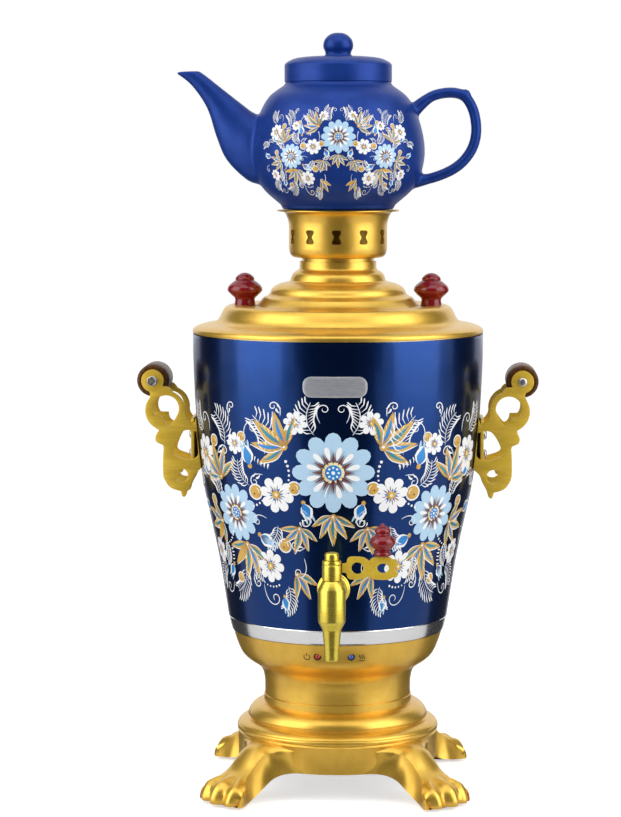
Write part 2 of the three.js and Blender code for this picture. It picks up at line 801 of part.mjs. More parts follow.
function heaterElement() {
  const sweep = elementSweepDegrees * THREE.MathUtils.DEG2RAD;
  const start = (Math.PI * 5) / 2 - (Math.PI * 2 - sweep) / 2 - sweep;
  const steps = Math.round((roundSides * sweep) / (Math.PI * 2));
  const rings = Array.from({ length: steps + 1 }, (_, i) => {
    const turn = start + (i / steps) * sweep;
    const out = new THREE.Vector3(Math.cos(turn), Math.sin(turn), 0);
    return Array.from({ length: tinySides }, (_, k) => {
      const angle = (k / tinySides) * Math.PI * 2;
      const reach = elementRingRadius + elementTubeRadius * Math.cos(angle);
      return out.clone().multiplyScalar(reach).setZ(elementZ - elementTubeRadius * Math.sin(angle));
    });
  });
  const terminals = bothSides.map((side) => {
    const end = elementEnd(side);
    return disc(elementTubeRadius / 2, elementZ - elementTubeRadius - terminalDrop, elementZ, tinySides)
      .translate(end.x - side * elementTubeRadius * 0.4, end.y, 0);
  });
  return join(loft(rings), ...terminals);
}

const shieldZ = bandZ + bandLedge + seatGap;

function heatShield() {
  const rim = bandLowRadius - bandWall - seatGap * 4;
  const plate = disc(rim, shieldZ, shieldZ + shieldThickness, roundSides);
  const rodHole = disc(tieRodRadius + seatGap, shieldZ - overrun, shieldZ + overrun);
  const wireHole = disc(wireHoleRadius, shieldZ - overrun, shieldZ + overrun)
    .scale(2, 1, 1)
    .translate(0, elementRingRadius - wireHoleRadius / 2, 0);
  return cut(plate, rodHole, wireHole);
}

function thermostat() {
  const topZ = heaterPlateZ - seatGap;
  return disc(thermostatRadius, topZ - thermostatHeight, topZ).translate(thermostatX, 0, 0);
}

// Inner wires: from the switch and the inlet up through the shield to the element's two ends
function wire(start, side) {
  const end = elementEnd(side);
  const terminalX = end.x - side * elementTubeRadius * 0.4;
  const terminalZ = elementZ - elementTubeRadius - terminalDrop - seatGap;
  const path = new THREE.CatmullRomCurve3([
    start,
    start.clone().add(new THREE.Vector3(0, -wireRadius * 5, 0)),
    new THREE.Vector3(terminalX, end.y, terminalZ - wireRadius * 5),
    new THREE.Vector3(terminalX, end.y, terminalZ),
  ]);
  const section = outline(Array.from({ length: tinySides }, (_, k) => {
    const turn = (k / tinySides) * Math.PI * 2;
    return [wireRadius * Math.cos(turn), wireRadius * Math.sin(turn)];
  }));
  return new THREE.ExtrudeGeometry(section, { steps: wireSteps, bevelEnabled: false, extrudePath: path });
}

// Plate on the front: a pill outline that follows the body
function badgePlate() {
  const half = (plateWidth - plateHeight) / 2;
  const radius = plateHeight / 2;
  const pill = new THREE.Shape();
  pill.absarc(half, 0, radius, -Math.PI / 2, Math.PI / 2);
  pill.absarc(-half, 0, radius, Math.PI / 2, (Math.PI * 3) / 2);
  const stamp = upright(pill, bodyTopRadius, -bodyTopRadius).translate(0, 0, plateCentreHeight);
  const skin = cut(bodyPlug(seatGap + plateThickness), bodyPlug(seatGap));
  return common(stamp, skin);
}

// Tap body: upright barrel and spout, level shank, bored through for the key and the water
const tapAxisY = -tapReach;
const tapBodyTopZ = shankHeight + tapBodyHigh;
const tapMouthZ = tapBodyTopZ + tapShoulderRise;
const keyZ = tapMouthZ + seatGap;
const keyFootZ = keyZ - keyStemLength;
const tankInsideY = -(bodyRadiusAt(shankHeight) - shellWall - tankAirGap - tankWall);
const shankEndY = tankInsideY + shankInside;

function tapBody() {
  const bodyLowZ = shankHeight - tapBodyLow;
  const spoutTopZ = bodyLowZ - spoutShoulderDrop;
  const barrel = revolve([
    [0, spoutTopZ - spoutLength],
    [spoutTipRadius, spoutTopZ - spoutLength],
    [spoutShoulderRadius, spoutTopZ],
    [tapBodyRadius, bodyLowZ],
    [tapBodyRadius, tapBodyTopZ],
    [tapShoulderRadius, tapMouthZ],
    [0, tapMouthZ],
  ], smallSides).translate(0, tapAxisY, 0);
  const shank = barAlongY(shankRadius, tapAxisY, shankEndY, 0, shankHeight);
  const spoutBoreTool = disc(tapBoreRadius, 0, shankHeight, tinySides).translate(0, tapAxisY, 0);
  const keyBore = disc(keyStemRadius + runningGap / 2, keyFootZ - seatGap, tapMouthZ + overrun)
    .translate(0, tapAxisY, 0);
  const shankBore = barAlongY(tapBoreRadius, tapAxisY, shankEndY + overrun, 0, shankHeight, tinySides);
  return cut(join(barrel, shank), spoutBoreTool, keyBore, shankBore);
}

function tapPlug() {
  const grooveZ = keyZ + keyHeight * 0.96;
  const turned = revolve([
    [0, keyFootZ], [keyStemRadius, keyFootZ], [keyStemRadius, keyZ], [keyRadius, keyZ],
    [keyRadius, grooveZ], [capRadius, keyZ + keyHeight], [0, keyZ + keyHeight],
  ], smallSides);
  const port = barAlongX(keyPortRadius, -keyRadius, keyRadius, 0, shankHeight);
  return cut(turned, port).translate(0, tapAxisY, 0);
}

function tapCap() {
  const lowZ = keyZ + keyHeight + seatGap;
  const side = scaled(capShares, 0, capRadius, lowZ, capHeight);
  return revolve([[0, lowZ], ...side, [0, lowZ + capHeight]], smallSides).translate(0, tapAxisY, 0);
}

// Lever: a pierced brass plate of two lobes on a narrow neck, standing on edge
const leverRootX = keyRadius + seatGap;
const leverZ = keyZ + leverLift;

function tapLever() {
  const along = (share) => leverRootX + share * leverLength;
  const upperEdge = leverShares.map(([x, z]) => [along(x), z * leverHalfHeight]);
  const lowerEdge = upperEdge.slice(0, -1).map(([x, z]) => [x, -z]).reverse();
  const shape = outline([...upperEdge, ...lowerEdge]);
  const roundHole = new THREE.Path();
  roundHole.absarc(along(leverHoleShare), 0, leverHoleRadius, 0, Math.PI * 2);
  const ovalHole = new THREE.Path();
  const ovalReach = leverOvalRadius * leverOvalStretch;
  ovalHole.absellipse(along(leverOvalShare), 0, ovalReach, leverOvalRadius, 0, Math.PI * 2);
  shape.holes.push(roundHole, ovalHole);
  return upright(shape, leverThickness, tapAxisY).translate(0, 0, leverZ);
}

function turnedKnob(radius, height, boreRadius, boreDepth) {
  const profile = [[0, 0], ...knobShares.map(([r, z]) => [r * radius, z * height]), [0, height]];
  const knob = revolve(profile, smallSides);
  return boreDepth > 0 ? cut(knob, disc(boreRadius, -overrun, boreDepth, tinySides)) : knob;
}

const leverTopZ = leverZ + leverHalfHeight;

function tapKnob() {
  return turnedKnob(knobRadius, knobHeight, 0, 0)
    .translate(leverKnobReach, tapAxisY, leverTopZ + seatGap);
}

// Seal and rosette nut outside the shell, nut inside the tank, all on the shank
function tapSeal() {
  const blank = barAlongY(sealRadius, -bodyTopRadius, 0, 0, shankHeight);
  const outerY = -(bodyRadiusAt(shankHeight + sealRadius) + seatGap + sealThickness);
  const hole = barAlongY(shankRadius + seatGap, -bodyTopRadius - overrun, overrun, 0, shankHeight);
  const front = box(bodyTopRadius, bodyTopRadius, bodyTopRadius, 0, outerY - bodyTopRadius / 2, shankHeight);
  return cut(blank, hole, front, bodyPlug(seatGap));
}

const rosetteY = -(bodyRadiusAt(shankHeight + sealRadius) + 2 * seatGap + sealThickness);

function tapRosette() {
  const bore = shankRadius + seatGap;
  const side = scaled(rosetteShares, 0, rosetteRadius, 0, rosetteLength);
  const turned = ring([[bore, 0], ...side, [bore, rosetteLength]], smallSides);
  return turned.rotateX(Math.PI / 2).translate(0, rosetteY, shankHeight);
}

function tapNut() {
  const nut = hexNut(tankNutRadius, shankRadius + seatGap, tankNutLength).rotateX(Math.PI / 2);
  const cornerDepth = tankInsideY + seatGap + tankNutLength / 2 + nutSeatDrop();
  return nut.translate(0, cornerDepth, shankHeight);
}

// How far the tapering tank wall comes inward over the nut's radius, so that the nut clears it
function nutSeatDrop() {
  const low = bodyRadiusAt(shankHeight - tankNutRadius);
  const facetDrop = bodyTopRadius * (1 - Math.cos(Math.PI / roundSides));
  return bodyRadiusAt(shankHeight) - low + facetDrop;
}

// Fretwork cheek in X and Z: roller boss, open loop, stem with a window, scroll and tail
function cheekShape() {
  const boss = new THREE.Vector2(rollerX, rollerHeight);
  const loop = new THREE.Vector2(loopX, loopHeight);
  const deg = THREE.MathUtils.degToRad;
  const inX = bracketFaceX - bracketGauge;
  const stemIn = stemX - stemWidth;
  const shape = new THREE.Shape();
  shape.moveTo(inX, webTopHeight);
  shape.lineTo(bracketFaceX, webTopHeight);
  shape.quadraticCurveTo(
    (bracketFaceX + loopX - loopRadius) / 2, webTopHeight - bossRadius,
    loopX - loopRadius * Math.cos(deg(12)), loopHeight - loopRadius * Math.sin(deg(12)));
  shape.absarc(loop.x, loop.y, loopRadius, deg(190), deg(104), true);
  shape.absarc(boss.x, boss.y, bossRadius, deg(205), deg(-52), true);
  shape.absarc(loop.x, loop.y, loopRadius, deg(40), deg(-62), true);
  shape.lineTo(stemX + scrollHoleRadius, loopHeight - loopRadius * 1.4);
  shape.lineTo(stemX, loopHeight - loopRadius * 1.75);
  shape.lineTo(stemX, scrollHoleHeight);
  shape.quadraticCurveTo(
    stemX - stemWidth / 4, scrollHoleHeight - scrollHoleRadius * 2,
    scrollHoleX + scrollHoleRadius / 2, scrollHoleHeight - scrollHoleRadius * 2.2);
  shape.lineTo(bracketTipX + scrollHoleRadius / 3, bracketTipHeight);
  shape.lineTo(bracketTipX - scrollHoleRadius / 3, bracketTipHeight);
  shape.lineTo(scrollHoleX - scrollHoleRadius * 1.5, scrollHoleHeight - scrollHoleRadius);
  shape.lineTo(inX, webLowHeight);
  shape.closePath();
  shape.holes.push(loopHole(loop), stemWindow(stemIn), scrollHole());
  return shape;
}

// The loop's opening: a round eye whose lower right is filled by a tab, with a tail below
function loopHole(loop) {
  const deg = THREE.MathUtils.degToRad;
  const hole = new THREE.Path();
  hole.absarc(loop.x, loop.y, loopHoleRadius, deg(-28), deg(215), false);
  hole.lineTo(loop.x - loopHoleRadius * 0.3, loop.y - loopHoleRadius * 1.12);
  hole.lineTo(loop.x + loopHoleRadius * 0.08, loop.y - loopHoleRadius * 1.05);
  hole.lineTo(loop.x + loopHoleRadius * 0.08, loop.y - loopHoleRadius * 0.5);
  hole.closePath();
  return hole;
}

function stemWindow(stemIn) {
  const left = bracketFaceX + bracketGauge / 4;
  const top = webTopHeight - bossRadius;
  const low = lowerScrewHeight - screwHeadRadius;
  const hole = new THREE.Path();
  hole.moveTo(left, low);
  hole.lineTo(stemIn - bracketGauge, low + bracketGauge / 2);
  hole.lineTo(stemIn, low + bracketGauge * 2);
  hole.quadraticCurveTo(stemIn - bracketGauge, top, left + bracketGauge, top);
  hole.lineTo(left, top - bracketGauge / 2);
  hole.closePath();
  return hole;
}

function scrollHole() {
  const hole = new THREE.Path();
  hole.absarc(scrollHoleX, scrollHoleHeight, scrollHoleRadius, 0, Math.PI * 2);
  return hole;
}

const cheekY = bracketSpan / 2 - bracketGauge / 2;

function handleBracket() {
  const cheeks = [-cheekY, cheekY].map((y) => upright(cheekShape(), bracketGauge, y));
  const web = box(bracketGauge, bracketSpan, webHeight,
    bracketFaceX - bracketGauge / 2, 0, webLowHeight + webHeight / 2);
  const holes = [
    barAlongY(boltRadius + seatGap, -bracketSpan, bracketSpan, rollerX, rollerHeight, tinySides),
    ...[upperScrewHeight, lowerScrewHeight].map((z) =>
      barAlongX(screwRadius + seatGap, bracketFaceX - overrun, bracketFaceX + overrun, 0, z)),
  ];
  return cut(join(web, ...cheeks), ...holes, bodyPlug(seatGap));
}

function handleGrip() {
  const half = bracketSpan / 2 - bracketGauge - runningGap;
  const edge = rollerRadius * 0.9;
  const bevel = rollerRadius - edge;
  return ring([
    [boltRadius + seatGap, -half], [edge, -half], [rollerRadius, -half + bevel],
    [rollerRadius, half - bevel], [edge, half], [boltRadius + seatGap, half],
  ], smallSides).rotateX(-Math.PI / 2).translate(rollerX, 0, rollerHeight);
}

function handleBolt() {
  const headY = -bracketSpan / 2 - seatGap;
  const endY = bracketSpan / 2 + seatGap + handleNutHeight;
  return revolve([
    [0, headY - boltHeadHeight], [boltHeadRadius * 0.7, headY - boltHeadHeight],
    [boltHeadRadius, headY - boltHeadHeight / 2], [boltHeadRadius, headY],
    [boltRadius, headY], [boltRadius, endY], [0, endY],
  ], tinySides).rotateX(-Math.PI / 2).translate(rollerX, 0, rollerHeight);
}

function handleNut() {
  return hexNut(handleNutRadius, boltRadius + seatGap, handleNutHeight)
    .rotateX(Math.PI / 2)
    .translate(rollerX, bracketSpan / 2 + seatGap + handleNutHeight / 2, rollerHeight);
}

function handleSpacer() {
  const outerX = bracketFaceX - bracketGauge - seatGap;
  const depth = bodyTopRadius / 2;
  const block = box(depth, spacerWidth, webHeight, outerX - depth / 2, 0, webLowHeight + webHeight / 2);
  const holes = [upperScrewHeight, lowerScrewHeight].map((z) =>
    barAlongX(screwRadius + seatGap, 0, bracketFaceX, 0, z));
  return cut(block, bodyPlug(seatGap), ...holes);
}

function handleScrew(z) {
  const tipX = bodyRadiusAt(z) - shellWall - screwInside;
  const headX = bracketFaceX + seatGap;
  return revolve([
    [0, tipX], [screwRadius, tipX], [screwRadius, headX], [screwHeadRadius, headX],
    [screwHeadRadius * 0.7, headX + screwHeadHeight], [0, headX + screwHeadHeight],
  ], tinySides).rotateY(Math.PI / 2).translate(0, 0, z);
}

// Lid sheet, its seal and its two knobs
const lidNeckRadius = lidRadius * lidNeckShare;
const lidProfile = scaled(lidShares, 0, lidRadius, lidZ, lidHeight);
lidProfile.push([lidNeckRadius, lidZ + lidHeight]);

function lidTopAt(radius) {
  const past = lidProfile.findIndex(([r], i) => i > 1 && r <= radius);
  const [r0, z0] = lidProfile[past - 1];
  const [r1, z1] = lidProfile[past];
  return z0 + ((z1 - z0) * (radius - r0)) / (r1 - r0);
}

const knobSeatZ = Math.max(lidTopAt(lidKnobReach), lidTopAt(lidKnobReach + lidKnobRadius * 0.6),
  lidTopAt(lidKnobReach - lidKnobRadius * 0.6));

function lid() {
  const screwHoles = bothSides.map((side) =>
    disc(knobScrewRadius + seatGap, lidZ, lidZ + lidHeight, tinySides).translate(side * lidKnobReach, 0, 0));
  return cut(sheet(lidProfile, lidWall), ...screwHoles);
}

function lidSeal() {
  const outerRadius = lidRadius - lidWall * 2 - seatGap;
  const innerRadius = outerRadius - lidSealWidth;
  const topZ = lidTopAt(outerRadius) - lidWall * 1.2 - seatGap;
  return ring([
    [innerRadius, lidZ], [outerRadius, lidZ], [outerRadius, topZ], [innerRadius, topZ],
  ]);
}

function lidKnob() {
  return turnedKnob(lidKnobRadius, lidKnobHeight, knobScrewRadius + seatGap, knobScrewLength)
    .translate(0, 0, knobSeatZ + seatGap);
}

function lidKnobScrew() {
  const lowestZ = Math.min(
    lidTopAt(lidKnobReach + knobScrewHeadRadius), lidTopAt(lidKnobReach - knobScrewHeadRadius));
  const underZ = lowestZ - lidWall * 1.1 - seatGap;
  const endZ = knobSeatZ + knobScrewLength - seatGap;
  return revolve([
    [0, underZ - knobScrewHeadHeight], [knobScrewHeadRadius, underZ - knobScrewHeadHeight],
    [knobScrewHeadRadius, underZ], [knobScrewRadius, underZ], [knobScrewRadius, endZ], [0, endZ],
  ], tinySides);
}

// Crown: spigot, rounded foot, pierced wall, flare and flat flange
function crown() {
  const spigotRadius = lidNeckRadius - lidWall - seatGap;
  const [wallLow, wallTop] = crownWallShares.map((share) => crownZ + share * crownHeight);
  const topZ = crownZ + crownHeight;
  const below = [
    [spigotRadius, crownZ - crownSpigot],
    [spigotRadius, crownZ],
    [lidNeckRadius + crownWall, crownZ],
    [crownRadius - crownWall, crownZ + crownFootShare * crownHeight],
    [crownRadius, wallLow],
    [crownRadius, wallTop],
    [crownRadius + crownWall * 2, topZ - crownWall],
    [crownFlangeRadius, topZ - crownWall],
  ];
  const above = [
    [crownFlangeRadius, topZ],
    [crownRadius + crownWall, topZ],
    [crownRadius - crownWall, wallTop],
    [crownRadius - crownWall, wallLow + crownWall / 2],
    [lidNeckRadius + crownWall, crownZ + crownWall],
    [spigotRadius - crownWall, crownZ + crownWall],
    [spigotRadius - crownWall, crownZ - crownSpigot],
  ];
  const holes = Array.from({ length: crownHoleCount }, (_, i) =>
    upright(crownHoleShape(), crownRadius, -crownRadius)
      .translate(0, 0, crownZ + crownHoleRise)
      .rotateZ((i / crownHoleCount) * Math.PI * 2));
  const facets = crownHoleCount * 2;
  return cut(ring([...below, ...above], facets).rotateZ(Math.PI / facets), ...holes);
}

// A waisted cut-out with a small point above and below
function crownHoleShape() {
  const w = crownHoleWidth / 2;
  const h = crownHoleHeight / 2;
  const waist = crownHoleWaist / 2;
  const half = [[w, h * 0.84], [waist, h * 0.3], [waist, -h * 0.3], [w, -h * 0.84]];
  const mirrored = half.map(([x, z]) => [-x, z]).reverse();
  return outline([[0, h], ...half, [0, -h], ...mirrored]);
}

// Teapot: turned body and cavity, lofted spout, swept handle
function ellipseRing(centre, along, reachAlong, reachY, sides) {
  const flatTop = reachAlong / Math.cos(Math.PI / sides);
  return Array.from({ length: sides }, (_, k) => {
    const turn = ((k + 0.5) / sides) * Math.PI * 2;
    return centre.clone()
      .addScaledVector(along, flatTop * Math.cos(turn))
      .add(new THREE.Vector3(0, reachY * Math.sin(turn), 0));
  });
}

function spout(inset) {
  const point = (r, z) => new THREE.Vector3(-r * potRadius, 0, potZ + z * potHeight);
  const rings = spoutStationShares.map(([ru, zu, rl, zl, w]) => {
    const upper = point(ru, zu);
    const lower = point(rl, zl);
    const centre = upper.clone().add(lower).divideScalar(2);
    const along = upper.clone().sub(lower);
    const reach = along.length() / 2;
    return ellipseRing(centre, along.normalize(), reach - inset, w * potRadius - inset, tinySides + 2);
  });
  if (inset > 0) {
    const past = new THREE.Vector3(-inset, 0, inset * 2);
    rings.push(rings.pop().map((p) => p.add(past)));
  }
  return loft(rings);
}

function potHandle() {
  const path = new THREE.CatmullRomCurve3(potHandleShares.map(([x, z]) =>
    new THREE.Vector3(x * potHandleReach, 0, potZ + z * potHeight)));
  const rings = path.getPoints(handleSteps).map((point, i) => {
    const tangent = path.getTangent(i / handleSteps);
    const across = new THREE.Vector3(-tangent.z, 0, tangent.x);
    return ellipseRing(point, across, potHandleThickness / 2, potHandleWidth / 2, tinySides);
  });
  return loft(rings);
}

function teapotBody() {
  const outer = scaled(potShares, 0, potRadius, potZ, potHeight);
  const foot = potZ + potFootHeight;
  const rimZ = potZ + potHeight;
  const solid = revolve([
    [0, foot], [potFootRadius - potWall, foot], [potFootRadius - potWall, potZ], [potFootRadius, potZ],
    ...outer, [potMouthRadius, rimZ], [0, rimZ],
  ]);
  const cavity = revolve([
    [0, foot + potWall], [potFootRadius, foot + potWall],
    ...coarse(outer.slice(1)).map(([r, z]) => [r - potWall, z]),
    [potMouthRadius - potWall, rimZ + overrun], [0, rimZ + overrun],
  ]);
  return cut(join(solid, spout(0), potHandle()), cavity, spout(spoutBore));
}

function teapotLid() {
  const skirtRadius = potMouthRadius - potWall - seatGap;
  const lowZ = potLidZ - potLidSkirt;
  return revolve([
    ...scaled(potLidInsideShares, 0, potMouthRadius, potLidZ, potLidHeight),
    [skirtRadius - potLidWall, potLidZ],
    [skirtRadius - potLidWall, lowZ],
    [skirtRadius, lowZ],
    [skirtRadius, potLidZ],
    ...scaled(potLidShares, 0, potMouthRadius, potLidZ, potLidHeight),
    [0, potLidZ + potLidHeight],
  ]);
}

// Colours and finishes
const finishes = {
  gold: { color: 0xd6a434, roughness: 0.38, metalness: 0.75 },
  brass: { color: 0xc8b432, roughness: 0.25, metalness: 0.9 },
  cobalt: { color: 0x0c1a5a, roughness: 0.12, metalness: 0.2 },
  steel: { color: 0xc8cacc, roughness: 0.25, metalness: 1 },
  rubber: { color: 0x222222, roughness: 0.9, metalness: 0 },
  darkPlastic: { color: 0x1c1a1a, roughness: 0.6, metalness: 0 },
  brownPlastic: { color: 0x2a140e, roughness: 0.5, metalness: 0 },
  redPlastic: { color: 0x9a1420, roughness: 0.15, metalness: 0 },
  redLens: { color: 0xc01818, roughness: 0.2, metalness: 0 },
  blueLens: { color: 0x2060c0, roughness: 0.2, metalness: 0 },
  board: { color: 0x1c5a30, roughness: 0.6, metalness: 0 },
  wood: { color: 0x4a1a10, roughness: 0.35, metalness: 0 },
  potGlaze: { color: 0x1e4086, roughness: 0.35, metalness: 0 },
  silicone: { color: 0xd8d8d0, roughness: 0.8, metalness: 0 },
  wireRed: { color: 0x8a2018, roughness: 0.6, metalness: 0 },
  wireBlue: { color: 0x20408a, roughness: 0.6, metalness: 0 },
};

const samovar = new THREE.Group();
samovar.position.y = axisSetback;

function add(name, geometry, finish) {
  const body = geometryOf(solidOf(geometry));
  const mesh = new THREE.Mesh(body, new THREE.MeshStandardMaterial(finishes[finish]));
  mesh.name = name;
  samovar.add(mesh);
  return mesh;
}

// Base
add("base_casting", baseCasting(), "gold");
add("base_cover", baseCover(), "steel");
const padNames = ["rear_right", "rear_left", "front_left", "front_right"];
pawTurns.forEach((turn, i) => {
  const pad = add("foot_pad_" + padNames[i], footPad(), "rubber");
  pad.position.set(padReach * Math.cos(turn), padReach * Math.sin(turn), 0);
});
add("tie_rod", tieRod(), "steel");
add("tie_nut", hexNut(nutRadius, tieRodRadius + seatGap, nutHeight), "steel")
  .position.z = coverZ - seatGap - nutHeight / 2;

// Control bowl and what it holds
add("control_bowl", controlBowl(), "gold");
add("indicator_lens_boil", indicatorLens(-1), "redLens");
add("indicator_lens_warm", indicatorLens(1), "blueLens");
add("indicator_board", indicatorBoard(), "board");
add("power_inlet", powerInlet(), "darkPlastic");
add("inlet_pin_live", inletPin(-pinSpacing, -linePinDrop), "steel");
add("inlet_pin_neutral", inletPin(pinSpacing, -linePinDrop), "steel");
add("inlet_pin_earth", inletPin(0, earthPinRise), "steel");
add("switch_housing", switchHousing(), "darkPlastic");
add("switch_rocker", switchRocker(), "redPlastic");
add("thermostat", thermostat(), "darkPlastic");
const switchBack = new THREE.Vector3(switchOffset, panelReach - switchDepth - seatGap, panelZ);
const inletBack = new THREE.Vector3(inletOffset, panelReach - inletDepth - seatGap, panelZ);
add("wire_live", wire(switchBack, -1), "wireRed");
add("wire_neutral", wire(inletBack, 1), "wireBlue");

// Kettle
add("trim_band", trimBand(), "steel");
add("body_shell", bodyShell(), "cobalt");
add("inner_tank", innerTank(), "steel");
add("heater_plate", heaterPlate(), "steel");
add("heater_element", heaterElement(), "steel");
add("heat_shield", heatShield(), "steel");
add("badge_plate", badgePlate(), "steel");

// Tap
add("tap_body", tapBody(), "brass");
add("tap_plug", tapPlug(), "brass");
add("tap_cap", tapCap(), "brass");
add("tap_lever", tapLever(), "brass");
add("tap_knob", tapKnob(), "redPlastic");
add("tap_rosette", tapRosette(), "brass");
add("tap_seal", tapSeal(), "silicone");
add("tap_nut", tapNut(), "brass");

// Side handles, one set towards -X and one towards +X
for (const [name, turn] of [["left", Math.PI], ["right", 0]]) {
  const place = (mesh) => { mesh.rotation.z = turn; };
  place(add("handle_bracket_" + name, handleBracket(), "brass"));
  place(add("handle_grip_" + name, handleGrip(), "wood"));
  place(add("handle_bolt_" + name, handleBolt(), "steel"));
  place(add("handle_nut_" + name, handleNut(), "steel"));
  place(add("handle_spacer_" + name, handleSpacer(), "brownPlastic"));
  place(add("handle_screw_" + name + "_upper", handleScrew(upperScrewHeight), "steel"));
  place(add("handle_screw_" + name + "_lower", handleScrew(lowerScrewHeight), "steel"));
}

// Lid, crown and teapot
add("lid", lid(), "gold");
add("lid_seal", lidSeal(), "silicone");
for (const [name, side] of [["left", -1], ["right", 1]]) {
  add("lid_knob_" + name, lidKnob(), "redPlastic").position.x = side * lidKnobReach;
  add("lid_knob_screw_" + name, lidKnobScrew(), "steel").position.x = side * lidKnobReach;
}
add("crown", crown(), "gold");
add("teapot_body", teapotBody(), "potGlaze");
add("teapot_lid", teapotLid(), "potGlaze");

export default samovar;
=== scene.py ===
import math

import bpy
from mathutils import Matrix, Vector


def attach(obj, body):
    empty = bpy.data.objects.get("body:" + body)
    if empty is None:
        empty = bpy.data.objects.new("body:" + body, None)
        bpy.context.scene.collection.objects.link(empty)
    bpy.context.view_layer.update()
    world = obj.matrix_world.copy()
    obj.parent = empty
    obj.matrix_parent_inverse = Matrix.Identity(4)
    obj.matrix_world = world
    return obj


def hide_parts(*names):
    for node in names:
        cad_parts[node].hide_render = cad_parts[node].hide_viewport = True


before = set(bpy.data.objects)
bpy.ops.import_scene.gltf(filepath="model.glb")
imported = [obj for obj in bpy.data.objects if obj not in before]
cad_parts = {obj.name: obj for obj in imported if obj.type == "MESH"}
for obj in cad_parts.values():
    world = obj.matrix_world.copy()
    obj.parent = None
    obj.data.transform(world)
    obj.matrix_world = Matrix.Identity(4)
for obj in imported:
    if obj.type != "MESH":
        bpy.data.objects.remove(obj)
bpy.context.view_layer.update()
scene = bpy.context.scene
scene.view_settings.view_transform = "Standard"
mm = 0.001
axisY = 0.015325  # the samovar's own axis stands this far behind the origin


# helpers: picking, placing, modifiers, copies

def pick(*pieces):
    if bpy.context.mode != "OBJECT":
        bpy.ops.object.mode_set(mode="OBJECT")
    bpy.ops.object.select_all(action="DESELECT")
    for piece in pieces:
        piece.select_set(True)
    if pieces:
        bpy.context.view_layer.objects.active = pieces[0]


def place(piece, move=(0, 0, 0), turn=(0, 0, 0)):  # millimetres and degrees
    pick(piece)
    piece.location = Vector(move) * mm
    piece.rotation_euler = [math.radians(angle) for angle in turn]
    bpy.ops.object.transform_apply(location=True, rotation=True, scale=True)
    return piece


def onAxis(piece):  # from the samovar's own axis to its place behind the origin
    return place(piece, (0, axisY / mm, 0))


def modify(piece, kind, **settings):
    pick(piece)
    modifier = piece.modifiers.new(kind.title(), kind)
    for setting, value in settings.items():
        setattr(modifier, setting, value)
    bpy.ops.object.modifier_apply(modifier=modifier.name)
    return piece


def softEdges(piece, width=0.3, segments=2, angle=40):
    return modify(piece, "BEVEL", width=width * mm, segments=segments, limit_method="ANGLE",
        angle_limit=math.radians(angle), harden_normals=False)


def subtract(piece, *tools):
    for tool in tools:
        modify(piece, "BOOLEAN", object=tool, operation="DIFFERENCE", solver="EXACT")
        bpy.data.objects.remove(tool)
    return piece


def twin(piece, name):
    copy = piece.copy()
    copy.data = piece.data.copy()
    copy.name = name
    scene.collection.objects.link(copy)
    return copy


def together(name, *pieces):
    pick(*pieces)
    bpy.ops.object.join()
    pieces[0].name = name
    return pieces[0]


def cleaned(piece, gap=0.002):
    pick(piece)
    bpy.ops.object.mode_set(mode="EDIT")
    bpy.ops.mesh.select_all(action="SELECT")
    bpy.ops.mesh.remove_doubles(threshold=gap * mm)
    bpy.ops.mesh.normals_make_consistent(inside=False)
    bpy.ops.object.mode_set(mode="OBJECT")
    return piece


def fromCad(node, name, width=0.3, segments=2):  # a copy of a CAD node, merged, with its edges softened
    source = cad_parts[node]
    mesh = source.data.copy()
    piece = bpy.data.objects.new(name, mesh)
    scene.collection.objects.link(piece)
    cleaned(piece)
    pick(piece)
    bpy.ops.object.mode_set(mode="EDIT")
    bpy.ops.mesh.select_all(action="SELECT")
    bpy.ops.mesh.dissolve_limited(angle_limit=math.radians(1))
    bpy.ops.object.mode_set(mode="OBJECT")
    return softEdges(piece, width, segments)


def dress(piece, look, rides, slot, *nodes, angle=30):
    pick(piece)
    piece.data.materials.clear()
    piece.data.materials.append(look)
    bpy.ops.object.shade_smooth_by_angle(angle=math.radians(angle))
    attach(piece, rides)
    if nodes:
        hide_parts(*nodes)
    return piece


def paintNode(look, *nodes):
    for node in nodes:
        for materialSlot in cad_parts[node].material_slots:
            materialSlot.material = look


# helpers: runs of points, turned pieces, plates cut from sheet

def smooth(*points, per=5):  # a smooth run through the points
    ends = [points[0], *points, points[-1]]
    run = []
    for a, b, c, d in zip(ends, ends[1:], ends[2:], ends[3:]):
        for i in range(per):
            t = i / per
            run.append(tuple(
                0.5 * (2 * q + (r - p) * t + (2 * p - 5 * q + 4 * r - s) * t * t
                    + (3 * q - p - 3 * r + s) * t ** 3)
                for p, q, r, s in zip(a, b, c, d)))
    return run + [tuple(points[-1])]


def arc(x, z, radius, start, end, steps=12):
    turns = [math.radians(start + (end - start) * i / steps) for i in range(steps + 1)]
    return [(x + radius * math.cos(turn), z + radius * math.sin(turn)) for turn in turns]


def walled(outer, wall):  # a sheet's section: the outer line, and back along its inner side
    inner = []
    for i, (r, z) in enumerate(outer):
        before, after = outer[max(i - 1, 0)], outer[min(i + 1, len(outer) - 1)]
        along = Vector((after[0] - before[0], after[1] - before[1])).normalized()
        inner.append((max(r - along.y * wall, 0), z + along.x * wall))
    return [*outer, *reversed(inner), outer[0]]


